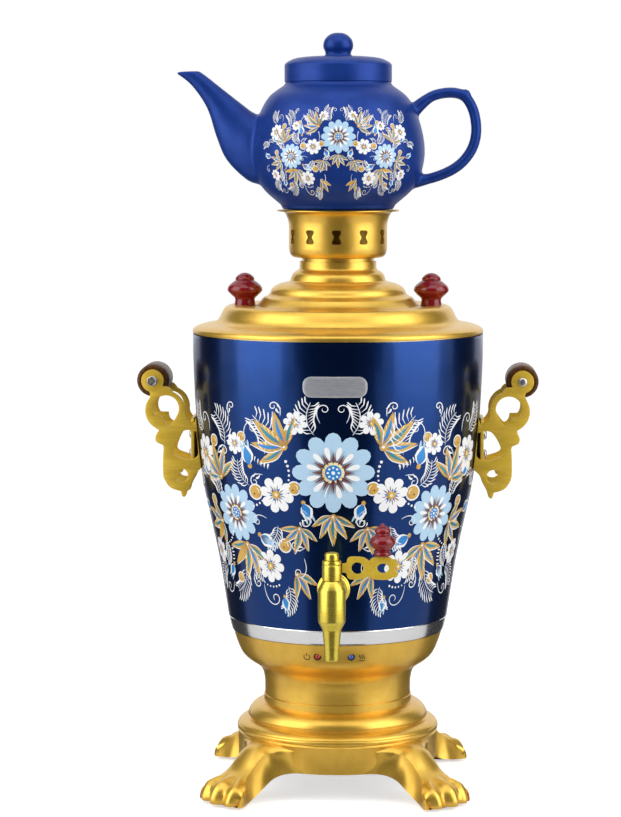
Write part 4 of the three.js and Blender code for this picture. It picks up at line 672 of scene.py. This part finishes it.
for side, turn in (("right", 0), ("left", 180)):
    mark = side.title()
    for part, name, look, rides, slotName, nodes in (
            (bracket, "bracket", bracketBrass, "samovar", "bracket_brass", ["handle_bracket_" + side]),
            (roller, "roller", rollerWood, "grip_" + side, "roller_wood", ["handle_grip_" + side]),
            (bolt, "bolt", plainSteel, "samovar", "plain_steel", ["handle_bolt_" + side]),
            (nut, "nut", plainSteel, "samovar", "plain_steel", ["handle_nut_" + side])):
        dress(onAxis(place(twin(part, name + mark), turn=(0, 0, turn))), look, rides, slotName, *nodes)
    for level, z in (("upper", 244.5), ("lower", 231.5)):
        screw = place(twin(screwHead, level + "Screw" + mark), (handle["screwX"], 0, z))
        screw = onAxis(place(screw, turn=(0, 0, turn)))
        dress(screw, plainSteel, "samovar", "plain_steel", "handle_screw_" + side + "_" + level)
for part in (bracket, roller, bolt, nut, screwHead):
    bpy.data.objects.remove(part)
print("handles ready")


# lid with its raised rings, and its two turned knobs

lid = {"wall": 1.3, "knobX": 64.5, "knobZ": 334.4}
lidOuter = [
    (99.7, 315.9), *smooth((100.2, 315.8), (100.44, 316.6), (100.44, 317.8), (100.0, 318.8), per=3),
    *smooth((98.6, 319.7), (96.2, 320.8), (92.0, 321.9), (87.2, 322.8), (84.0, 324.0), (82.0, 326.2),
        (80.4, 329.4),
        (79.0, 332.0), (77.4, 333.8), (74.8, 334.9), (71.4, 335.1), (66.0, 334.6), (61.0, 334.3),
        (57.4, 334.6), per=3),
    *smooth((55.4, 335.9), (53.4, 337.9), (51.6, 340.0), (49.0, 341.2), (47.2, 342.9), (46.0, 345.6),
        (44.0, 347.6), (40.6, 349.4), (37.0, 350.4), (34.2, 351.0), per=3),
    *smooth((33.0, 351.8), (32.4, 354.0), (31.4, 356.2), (29.6, 357.8), (27.8, 358.8), (26.8, 360.0),
        (26.5, 361.4), per=3),
    (26.5, 365.0)]
dress(onAxis(turned("lidSheet", walled(lidOuter, lid["wall"]), 160)), goldPaint, "lid_body", "gold_paint",
    "lid", angle=35)
lidKnobProfile = [
    (0, 0), (7.1, 0), *smooth((7.3, 0.4), (7.1, 2.0), (6.8, 4.0), (7.0, 4.9), per=3),
    *smooth((7.6, 5.6), (9.8, 7.6), (11.8, 9.8), (12.1, 11.4), (11.3, 13.4), (9.0, 15.6), (7.0, 17.0),
        per=4),
    *smooth((6.4, 17.5), (6.5, 18.1), (6.6, 18.7), (5.7, 20.0), (4.0, 21.4), (2.0, 22.3), (0, 22.6), per=3)]
for side, x in (("left", -lid["knobX"]), ("right", lid["knobX"])):
    knob = place(turned("lidKnob" + side.title(), lidKnobProfile, 64), (x, 0, lid["knobZ"]))
    dress(onAxis(knob), knobRed, "lid_body", "knob_red", "lid_knob_" + side)
print("lid ready")


# crown: a pierced cup with a flange, which carries the teapot

crownHoles = {"count": 11, "z": 382.2, "width": 6.2, "height": 9.7, "waist": 3.4}
crownCup = turned("crownCup", [
    (23.7, 355.6), (24.9, 355.6), (24.9, 367.4),
    *smooth((28.0, 367.5), (31.2, 368.2), (33.1, 370.4), (33.9, 374.2), per=3),
    (33.9, 388.6), *smooth((34.0, 389.8), (34.3, 392.4), (35.2, 395.4), (36.6, 398.2), (38.4, 399.3),
        per=3),
    (41.8, 399.4), (42.1, 399.7), (42.1, 400.2), (41.8, 400.4), (37.6, 400.4),
    *smooth((36.2, 399.8), (34.8, 398.0), (33.4, 394.6), (32.8, 389.6), per=3), (32.7, 374.6),
    *smooth((32.1, 371.8), (30.6, 369.7), (28.0, 368.9), (26.0, 368.8), per=3), (23.7, 368.7),
    (23.7, 355.6)], 132)
half, tall, waist = crownHoles["width"] / 2, crownHoles["height"] / 2, crownHoles["waist"] / 2
rightSide = smooth((half * 0.62, tall), (half, tall * 0.86), (half * 0.98, tall * 0.5), (waist, 0.0),
    (half * 0.98, -tall * 0.5), (half, -tall * 0.86), (half * 0.62, -tall), per=3)
punch = plate("punch", 6, rightSide + [(-x, z) for x, z in reversed(rightSide)], edge=0.01)
place(punch, (0, -33.5, crownHoles["z"]))
punches = [punch] + [twin(punch, "punchCopy") for i in range(crownHoles["count"] - 1)]
for i, onePunch in enumerate(punches):
    place(onePunch, turn=(0, 0, 360 * i / crownHoles["count"]))
subtract(crownCup, together("punches", *punches))
dress(onAxis(crownCup), goldPaint, "crown_body", "gold_paint", "crown", angle=35)
print("crown ready")


# teapot: a turned pot, with spout and handle melted into it

pot = {"wall": 3.4, "voxel": 1.0, "passes": 14, "spoutFree": 20.5, "handleFree": 12.0, "fade": 4}
potOuter = smooth((38.6, 402.8), (40.6, 404.8), (44.2, 407.8), (49.4, 412.4), (53.8, 418.1), (57.4, 426.0),
    (59.3, 435.0), (59.6, 442.8),
    (58.4, 452.0), (55.6, 462.4), (51.6, 471.6), (47.0, 478.4), (41.4, 482.8), (37.6, 485.4), (36.2, 487.6),
    (36.0, 490.6), per=5)
potBody = turned("teapot", [(0, 400.7), (38.3, 400.7), (38.6, 401.2), *potOuter, (36.0, 491.8), (0, 491.8)],
    128)
spoutRows = smooth(
    (37.0, 462.0, 44.0, 414.0, 17.6), (46.0, 462.6, 54.0, 417.4, 17.0), (57.8, 466.9, 63.2, 420.9, 15.6),
    (65.6, 472.5, 76.9, 434.4, 11.8), (75.0, 479.8, 84.0, 450.4, 8.9), (83.2, 486.2, 90.4, 470.0, 6.9),
    (89.8, 491.4, 101.3, 485.9, 6.0), (95.6, 495.6, 113.0, 494.8, 5.8), per=5)


def spoutRing(row, inset):
    upper, lower = Vector((-row[0], 0, row[1])), Vector((-row[2], 0, row[3]))
    centre, along = (upper + lower) / 2, (upper - lower)
    reach = along.length / 2 - inset
    turns = [math.tau * k / 28 for k in range(28)]
    return [centre + along.normalized() * reach * math.cos(t)
        + Vector((0, (row[4] - inset) * math.sin(t), 0)) for t in turns]


spout = lofted("spout", [spoutRing(row, 0) for row in spoutRows])
handlePath = smooth(
    (46, 464), (52, 468.4), (58, 473.8), (66, 478.8), (77.5, 480.6), (86.6, 478.2), (92.2, 470),
    (94.6, 460), (94.6, 451),
    (92.2, 442.6), (87.2, 435), (80.6, 429.2), (72, 424.8), (62, 421.6), (50, 419.4), per=4)
loopRings = []
for i, (x, z) in enumerate(handlePath):
    before, after = handlePath[max(i - 1, 0)], handlePath[min(i + 1, len(handlePath) - 1)]
    along = Vector((after[0] - before[0], 0, after[1] - before[1])).normalized()
    across = Vector((-along.z, 0, along.x))
    flare = 1 + 0.5 * max(0, (62 - x) / 16)
    loopRings.append([
        Vector((x, 0, z)) + across * 3.7 * flare * math.cos(math.tau * k / 20)
        + Vector((0, 5.0 * flare * math.sin(math.tau * k / 20), 0)) for k in range(20)])
potLoop = lofted("potLoop", loopRings)
thumb = turned("thumb", [(0, -4), (4.4, -3), *smooth((4.0, 0), (3.0, 2.0), (1.4, 3.2), (0, 3.6), per=3)],
    24)
place(thumb, (87.6, 0, 479.6), (0, 40, 0))
together("teapot", potBody, spout, potLoop, thumb)
modify(potBody, "REMESH", mode="VOXEL", voxel_size=pot["voxel"] * mm, adaptivity=0)
modify(potBody, "SMOOTH", factor=0.5, iterations=pot["passes"])
spoutLine = [((row[0] + row[2]) / 2, (row[1] + row[3]) / 2,
    math.hypot(row[0] - row[2], row[1] - row[3]) / 2) for row in spoutRows]
for vertex in potBody.data.vertices:  # away from spout and handle the pot is put back on its turned outline
    x, y, z = vertex.co / mm
    r = math.hypot(x, y)
    if not 403.2 < z < 490.8 or r > 64:
        continue
    clear = 20.0
    if x < 0:
        for lineX, lineZ, half in spoutLine[5:14]:
            off = math.hypot((z - lineZ) / (half + 5.0), y / pot["spoutFree"]) - 1
            clear = min(clear, off * 14)
    else:
        for lineX, lineZ in (handlePath[4], handlePath[8], handlePath[-1], handlePath[-5]):
            if lineX < 62:
                clear = min(clear, math.hypot(z - lineZ, y) - pot["handleFree"])
    blend = min(max(clear / pot["fade"], 0), 1)
    target = radiusAt(potOuter, z)
    vertex.co.x += (x / r * target - x) * blend * mm
    vertex.co.y += (y / r * target - y) * blend * mm
bore = lofted("bore", [spoutRing(row, 2.6) for row in spoutRows[:-1]] + [
    [p + Vector((-0.6, 0, 1.5)) for p in spoutRing(spoutRows[-1], 2.2)]])
cavity = turned("cavity", [
    (0, 405.5), (36, 405.5), *[(r - pot["wall"], z) for r, z in potOuter if 412 < z < 489], (32.7, 492.5),
    (0, 492.5)], 96)
footHollow = turned("footHollow", [(0, 400.0), (35.2, 400.0), (35.2, 402.6), (34.6, 403.1), (0, 403.1)], 96)
subtract(potBody, cavity, bore, footHollow)
cleaned(potBody, 0.01)
dress(onAxis(potBody), blueGlaze, "teapot", "blue_glaze", "teapot_body", angle=50)

potLid = turned("teapotLid", [
    (0, 501.6), *smooth((12, 501.3), (24.4, 500.0), (28.4, 497.4), (30.2, 493.4), per=2), (30.2, 486.2),
    (32.4, 486.2), (32.4, 492.2),
    (36.3, 492.2), (36.35, 488.1), (36.6, 487.8), (36.9, 488.2), (36.9, 498.6),
    *smooth((36.8, 499.4), (36.0, 500.7), (33.4, 502.4), (28.6, 504.2), (20, 505.2), (11.4, 505.6), per=3),
    *smooth((9.4, 505.9), (8.8, 507.0), (9.1, 508.8), (10.1, 511.0), (10.3, 513.4), (9.4, 516.6),
        (7.0, 519.4), (3.8, 521.1), (0, 521.5), per=4)], 96)
dress(onAxis(potLid), blueGlaze, "teapot_cover", "blue_glaze", "teapot_lid", angle=35)
print("teapot ready")


# painted garland: one brush stroke is modelled once, then copied along every line of the design

garland = {"reach": 93.0, "lift": 0.12, "layer": 0.05, "sunk": 0.05, "middle": 207, "potScale": 0.42,
    "potX": 2, "potZ": 441, "potRound": 57}
brush = sheetOf("brush", 8, 2, lambda a, b: (0.5 - 0.5 * math.cos(math.pi * a), b, 0))
liner = sheetOf("liner", 26, 2, lambda a, b: (a, b, 0))
strokeShapes = {  # where the stroke is widest, and how blunt its two ends are
    "petal": (0.70, 1.0, 0.5), "leaf": (0.42, 0.7, 1.2), "dot": (0.5, 0.5, 0.5), "line": (0.5, 0.2, 0.2),
    "comma": (0.78, 1.4, 0.5)}


def moved(points, at, turn=0, size=1):  # a motif's points, turned and set in the design
    c, s = math.cos(math.radians(turn)) * size, math.sin(math.radians(turn)) * size
    return [(at[0] + x * c - z * s, at[1] + x * s + z * c) for x, z in points]


def placed(motif, at, turn=0, size=1):
    return [(colour, moved(points, at, turn, size), width * size, shape, layer)
        for colour, points, width, shape, layer in motif]


def ring(colour, count, inner, outer, width, layer, start=0, shape="petal"):
    return [(colour, moved([(0, inner), (0, (inner + outer) / 2), (0, outer)], (0, 0),
        start + 360 * i / count), width, shape, layer) for i in range(count)]


def dot(colour, x, z, radius, layer=0):
    return [(colour, [(x - radius, z), (x, z), (x + radius, z)], 2 * radius, "dot", layer)]


def curl(radius, sweep, turns=1.5, steps=22):  # a tendril's rolled end, starting at 0, 0 and heading up
    side = 1 if sweep > 0 else -1
    points, x, z, heading = [(0, 0)], 0, 0, 90.0
    length = abs(sweep)
    for i in range(steps):
        share = i / steps
        x += math.cos(math.radians(heading)) * length / steps
        z += math.sin(math.radians(heading)) * length / steps
        points.append((x, z))
        heading += side * 360 * turns / steps * (0.15 + 1.9 * share ** 1.6) * radius
    return points


def aster(radius):
    r = radius
    return (ring("Sky", 12, r * 0.16, r, r * 0.40, 1)
        + ring("White", 12, r * 0.30, r * 0.66, r * 0.13, 2, 15)
        + ring("Brown", 12, r * 0.22, r * 0.52, r * 0.045, 3, 0, "leaf") + dot("Cream", 0, 0, r * 0.27, 3)
        + dot("Blue", 0, 0, r * 0.20, 4) + ring("White", 8, r * 0.10, r * 0.16, r * 0.05, 5, 0, "dot")
        + dot("White", 0, 0, r * 0.045, 5))


def daisy(radius):
    r = radius
    return (ring("White", 8, r * 0.18, r, r * 0.52, 1)
        + ring("Brown", 8, r * 0.22, r * 0.55, r * 0.05, 2, 0, "leaf")
        + dot("Ochre", 0, 0, r * 0.24, 2) + ring("Blue", 6, r * 0.24, r * 0.36, r * 0.11, 3, 10, "dot")
        + dot("Cream", 0, 0, r * 0.1, 3))


def leafOf(length, width, vein="Teal"):
    bent = smooth((0, 0), (width * 0.10, length * 0.5), (-width * 0.08, length), per=4)
    inner = smooth((0, length * 0.12), (width * 0.12, length * 0.5), (-width * 0.04, length * 0.82), per=4)
    edge = smooth((width * 0.1, length * 0.02), (width * 0.62, length * 0.42),
        (width * 0.06, length * 1.02), per=4)
    return ([("Ochre", bent, width, "leaf", 1), (vein, inner, width * 0.34, "leaf", 2),
        ("White", edge, width * 0.10, "line", 2)]
        + [("Cream", [(-width * 0.04, length * s), (-width * 0.20, length * (s + 0.07)),
            (-width * 0.30, length * (s + 0.15))],
            width * 0.09, "comma", 2) for s in (0.16, 0.30, 0.44, 0.58)])


def spray(length, count=5, fan=34, width=0.30):  # leaves fanned out from one stem
    leaves = []
    for i in range(count):
        off = i - (count - 1) / 2
        size = length * (1 - 0.11 * abs(off))
        leaves += placed(leafOf(size, size * width, "Teal" if i % 2 == 0 else "Blue"),
            (off * length * 0.03, -abs(off) * 0.4), -off * fan)
    return leaves + dot("Ochre", 0, 0, length * 0.10, 3) + dot("White", 0, 0, length * 0.04, 4)


def bud(size):
    return ([("Blue", [(0, 0), (0, size * 0.5), (0, size)], size * 0.50, "leaf", 1),
        ("White", smooth((0, 0), (-size * 0.34, size * 0.45), (-size * 0.08, size * 1.02), per=4),
            size * 0.16, "comma", 2),
        ("White", smooth((0, 0), (size * 0.34, size * 0.45), (size * 0.08, size * 1.02), per=4),
            size * 0.16, "comma", 2)]
        + [("Sky", [(0, size * 0.1), (x, size * 0.9), (x * 1.3, size * 1.3)], size * 0.14, "petal", 0)
            for x in (-size * 0.2, 0, size * 0.2)] + dot("Ochre", 0, -size * 0.04, size * 0.14, 2))


def berry(radius):
    return (dot("White", 0, 0, radius * 1.22, 0) + dot("Ochre", 0, 0, radius, 1)
        + [("Cream", arc(0, 0, radius * 0.62, 100, 200, 5), radius * 0.2, "line", 2)]
        + dot("Brown", radius * 0.25, -radius * 0.3, radius * 0.16, 2))


def fern(length, lean=1.0):  # a white stem with short side strokes, rolled at its tip
    stem = smooth((0, 0), (lean * length * 0.10, length * 0.35), (lean * length * 0.04, length * 0.7),
        (-lean * length * 0.16, length), per=7)
    strokes = [("White", stem, 0.5, "line", 0)]
    for i in range(3, len(stem) - 1, 2):
        (x, z), (nextX, nextZ) = stem[i - 1], stem[i]
        heading = math.degrees(math.atan2(nextZ - z, nextX - x)) - 90
        size = length * 0.36 * math.sin(math.pi * (0.14 + 0.74 * i / len(stem)))
        for side in (-1, 1):
            strokes.append(("White", moved([(0, 0), (side * size * 0.66, size * 0.36),
                (side * size * 0.95, size)], (x, z), heading), 0.85, "comma", 0))
    return strokes


def tendril(length, side=1, width=0.6):
    return [("White", curl(1.0, side * length), width, "line", 1)]


def scroll(length, side=1):  # a tendril with two short leaves on its back
    return (tendril(length * 1.7, side, 0.7)
        + [("White", moved([(0, 0), (-side * s * 0.3, s * 0.6), (-side * s * 0.2, s)], (0, length * at),
            side * 38), s * 0.30, "comma", 1) for at, s in ((0.15, length * 0.34), (0.42, length * 0.28))])


def beads(count, radius, gap, bend=0.0):  # a bending row of dots
    row, x, z = [], 0.0, 0.0
    for i in range(count):
        row += dot("White", x, z, radius * (1 - 0.08 * i), 1)
        x += gap * math.cos(math.radians(bend * i))
        z += gap * math.sin(math.radians(bend * i))
    return row


def drops(count, size, gap, bow=0.0):  # a row of falling drops that grow smaller
    return [("White", [(i * gap, bow * i * i), (i * gap + size * 0.1, bow * i * i + size * 0.5),
        (i * gap, bow * i * i + size)], size * 0.32 * (1 - 0.09 * i), "comma", 1) for i in range(count)]


def rowsOf(motif, *rows):  # in each row the motif's own sizes, then where it stands and its turn
    strokes = []
    for *sizes, x, z, turn in rows:
        strokes += placed(motif(*sizes), (x, z), turn)
    return strokes


halfGarland = (
    rowsOf(aster, (20, 76, 198, 8))
    + rowsOf(daisy, (12.5, 39, 213, 12), (13, 108, 236, 30), (11.5, 50, 163, 4), (9, 112, 168, 16))
    + rowsOf(spray, (27, 32, 246, -52), (24, 88, 222, -18), (25, 70, 176, -168), (22, 97, 190, -104))
    + placed(spray(20), (24, 190), 196, 0.9)
    + rowsOf(spray, (19, 3, 28, 158, 150))
    + rowsOf(bud, (13, 58, 232, -14), (12, 56, 184, 120), (11, 118, 196, -70), (10, 92, 160, -140))
    + rowsOf(berry, (4.6, 55, 214, 0), (4.0, 26, 218, 0), (3.6, 93, 246, 0), (4.2, 36, 178, 0),
        (3.4, 104, 204, 0), (3.2, 84, 152, 0), (3.0, 64, 251, 0))
    + rowsOf(fern, (27, -1, 46, 240, -8), (22, 1, 12, 254, -14), (24, -1, 80, 244, -16),
        (20, 1, 108, 252, -40), (24, 1, 76, 160, -150), (20, -1, 104, 158, -128), (18, 1, 36, 150, -176),
        (16, -1, 120, 214, -84))
    + rowsOf(tendril, (34, 1, 60, 246, -20), (30, -1, 98, 252, 4), (30, 1, 22, 170, 160),
        (36, -1, 58, 150, 178), (30, 1, 96, 148, -160), (26, -1, 122, 184, -100), (26, 1, 8, 262, -30),
        (24, -1, 48, 196, -60))
    + rowsOf(drops, (5, 4.0, 2.6, 0.16, 44, 230, 10), (5, 3.6, 2.4, 0.2, 88, 172, -100),
        (4, 3.4, 2.4, -0.2, 16, 196, -20))
    + rowsOf(fern, (19, 1, 60, 218, -36), (17, -1, 92, 208, -30), (17, 1, 40, 192, -150),
        (16, -1, 62, 170, 170), (15, 1, 98, 176, -170))
    + rowsOf(scroll, (15, 22, 204, 120), (14, -1, 48, 226, -80), (15, 90, 236, 20), (13, -1, 66, 158, -150),
        (13, 20, 178, -130), (14, -1, 112, 218, -20), (12, 104, 182, -60), (13, -1, 34, 266, 10),
        (12, 74, 264, -30))
    + rowsOf(beads, (7, 1.0, 3.2, 9, 31, 236, -110), (6, 0.9, 3.0, -8, 58, 204, 160),
        (6, 0.9, 3.0, 10, 84, 184, -60), (6, 0.8, 2.8, 12, 44, 150, -20))
    + rowsOf(daisy, (8, 24, 262, 10), (7.5, 70, 246, 0))
    + rowsOf(bud, (11, 20, 208, 160), (10, 104, 222, -60), (9, 40, 142, 170)))
design = (
    placed(aster(27), (0, 229)) + halfGarland
    + [(colour, [(-x, z) for x, z in points], width, shape, layer)
        for colour, points, width, shape, layer in halfGarland]
    + placed(spray(20, 5, 30), (0, 199), 180))


def along(points, share):  # the spot at a share of a path's length
    spans = [math.dist(a, b) for a, b in zip(points, points[1:])]
    reach = share * sum(spans)
    for a, b, span in zip(points, points[1:], spans):
        if reach <= span:
            return Vector(a).lerp(Vector(b), reach / span)
        reach -= span
    return Vector(points[-1])


def lay(name, strokes, spot, rides, slotName, looks):  # one thin painted piece for each colour
    for colour, look in looks.items():
        copies = []
        for strokeColour, points, width, shape, layer in strokes:
            if strokeColour != colour:
                continue
            source = liner if shape == "line" and len(points) > 6 else brush
            copy = twin(source, name + "Stroke")
            belly, rootPower, tipPower = strokeShapes[shape]
            for vertex in copy.data.vertices:
                a, b = vertex.co.x / mm, vertex.co.y / mm
                middle = along(points, a)
                way = (along(points, min(a + 0.04, 1)) - along(points, max(a - 0.04, 0))).normalized()
                off = (belly - a) / belly if a < belly else (a - belly) / (1 - belly)
                half = width * (b - 0.5) * max(1 - off * off, 0) ** (rootPower if a < belly else tipPower)
                lift = garland["lift"] + garland["layer"] * layer + 0.05 * (1 - abs(2 * b - 1))
                vertex.co = Vector(spot(middle.x - way.y * half, middle.y + way.x * half, lift)) * mm
            copies.append(copy)
        if copies:
            piece = cleaned(together(name + colour, *copies), 0.0005)
            modify(piece, "SOLIDIFY", thickness=(garland["lift"] + garland["sunk"]) * mm, offset=-1)
            dress(onAxis(piece), look, rides, slotName, angle=60)


def onBody(u, v, lift):
    r = radiusAt(bodyOuter, v) + lift
    return r * math.sin(u / garland["reach"]), -r * math.cos(u / garland["reach"]), v


def onPot(u, v, lift):
    u = (u * garland["potScale"] + garland["potX"]) / garland["potRound"]
    v = (v - garland["middle"]) * garland["potScale"] + garland["potZ"]
    r = radiusAt(potOuter, v) + lift
    return r * math.sin(u), -r * math.cos(u), v


def onBowl(u, v, lift):
    r = radiusAt(bowlOuter, v) + lift - bowl["signSunk"]
    return r * math.sin(u / bowl["signRound"]), -r * math.cos(u / bowl["signRound"]), v


lay("bodyPaint", design, onBody, "samovar", "cobalt_enamel", paints)
lay("potPaint", design, onPot, "teapot", "blue_glaze", paints)
powerSign = [("Ink", arc(0, 0, 2.1, 125, 415, 16), 0.6, "line", 0),
    ("Ink", [(0, 0.5), (0, 1.7), (0, 2.9)], 0.6, "line", 0)]
heatSign = [("Ink", smooth((x, -1.7), (x + 0.6, -0.7), (x - 0.6, 0.7), (x, 1.9), per=4), 0.55, "line", 0)
    for x in (-1.5, 0, 1.5)]
heatSign += [("Ink", [(x * 0.8, -2.7) for x in (-3, -2, -1, 0, 1, 2, 3)], 0.55, "line", 0)]
signs = placed(powerSign, (-bowl["signX"], 100.4)) + placed(heatSign, (bowl["signX"], 100.6))
lay("bowlSign", signs, onBowl, "samovar", "gold_paint", {"Ink": printInk})
for source in (brush, liner):
    bpy.data.objects.remove(source)
print("decoration ready:", len(design), "strokes")


# CAD nodes that keep their own shape get their finish

paintNode(plainSteel, "base_cover", "tie_rod", "tie_nut", "tap_nut", "lid_knob_screw_left",
    "lid_knob_screw_right", "heat_shield")
paintNode(rubber, "foot_pad_front_left", "foot_pad_front_right", "foot_pad_rear_left",
    "foot_pad_rear_right")
paintNode(boardGreen, "indicator_board")
paintNode(thermostatBody, "thermostat")
paintNode(wireRed, "wire_live")
paintNode(wireBlue, "wire_neutral")
paintNode(tankSteel, "heater_plate")
paintNode(sheath, "heater_element")
paintNode(silicone, "tap_seal", "lid_seal")
paintNode(brownPlastic, "handle_spacer_left", "handle_spacer_right")


# floor, light and background

studio = {"floorGrey": 0.80, "floorGlow": 0.56, "ambient": 0.55, "cardGrey": 0.02}
floorLook, floorShader = material("floorLook", Roughness=0.9)
floorShader.inputs["Base Color"].default_value = (*[studio["floorGrey"]] * 3, 1)
seen = floorLook.node_tree.nodes.new("ShaderNodeLightPath").outputs  # it shines for the camera alone
floorShader.inputs["Emission Color"].default_value = (1, 1, 1, 1)
floorGlow = calc(floorLook, "MULTIPLY", seen["Is Camera Ray"], studio["floorGlow"])
floorLook.node_tree.links.new(floorGlow, floorShader.inputs["Emission Strength"])
pick()
bpy.ops.mesh.primitive_plane_add(size=6, location=(0, 1.0, -0.0005))
floor = bpy.context.object
floor.name = "floor"
floor.data.materials.append(floorLook)

world = bpy.data.worlds.new("studio")  # white to camera, reflections and glass, weaker as light
scene.world = world
world.use_nodes = True
plain = world.node_tree.nodes["Background"]
plain.inputs["Color"].default_value = (1, 1, 1, 1)
ray = world.node_tree.nodes.new("ShaderNodeLightPath").outputs
seenRays = calc(world, "MAXIMUM", ray["Is Camera Ray"], ray["Is Glossy Ray"])
clearRays = calc(world, "MAXIMUM", seenRays, ray["Is Transmission Ray"])
strength = spread(world, clearRays, studio["ambient"], 1.0, 0, 1)
world.node_tree.links.new(strength, plain.inputs["Strength"])


def towards(thing, azimuth, height, distance, aim=0.27):  # azimuth 0 stands in front, 90 at the right
    turn = math.radians(azimuth)
    thing.location = (distance * math.sin(turn), axisY - distance * math.cos(turn), height)
    thing.rotation_euler = (Vector((0, axisY, aim)) - thing.location).to_track_quat("-Z", "Y").to_euler()


def lamp(name, azimuth, height, distance, width, tall, power):
    pick()
    bpy.ops.object.light_add(type="AREA")
    made = bpy.context.object
    made.name = name
    made.data.shape = "RECTANGLE"
    made.data.size, made.data.size_y = width, tall
    made.data.energy = power
    towards(made, azimuth, height, distance)


lamp("keyLeft", -62, 0.8, 1.5, 1.3, 1.9, 16)
lamp("keyRight", 66, 0.8, 1.5, 1.3, 1.9, 16)
lamp("top", 0, 1.9, 0.6, 1.4, 1.4, 5.5)

cardLook, cardShader = material("cardLook", Roughness=1.0)
cardShader.inputs["Base Color"].default_value = (studio["cardGrey"], studio["cardGrey"], 0.022, 1)


def reflected(card):  # only reflections see it
    card.data.materials.append(cardLook)
    card.visible_camera = card.visible_diffuse = False
    card.visible_shadow = card.visible_transmission = False


def darkCard(name, azimuth, width, tall, distance=2.2, height=0.5):
    pick()
    bpy.ops.mesh.primitive_plane_add(size=1)
    card = bpy.context.object
    card.name = name
    towards(card, azimuth, height, distance)
    card.scale = (width, tall, 1)
    bpy.ops.object.transform_apply(location=True, rotation=True, scale=True)
    reflected(card)


def darkFan(name, azimuth, sweep, inner, outer):  # lies just over the floor
    def spot(a, b):
        turn, r = math.radians(azimuth + sweep * (a - 0.5)), (inner + (outer - inner) * b) / mm
        return r * math.sin(turn), axisY / mm - r * math.cos(turn), 0.3

    reflected(sheetOf(name, 12, 2, spot))


darkCard("cardFront", 2, 3.0, 3.0)
darkFan("fanFront", 2, 58, 0.27, 2.2)
darkFan("fanNear", 2, 56, 0.12, 0.175)
darkFan("fanLeft", -128, 50, 0.12, 2.2)
darkFan("fanRight", 130, 50, 0.12, 2.2)
darkCard("cardLeft", -120, 1.4, 3.0)
darkCard("cardRight", 120, 1.4, 3.0)
print("stage ready")
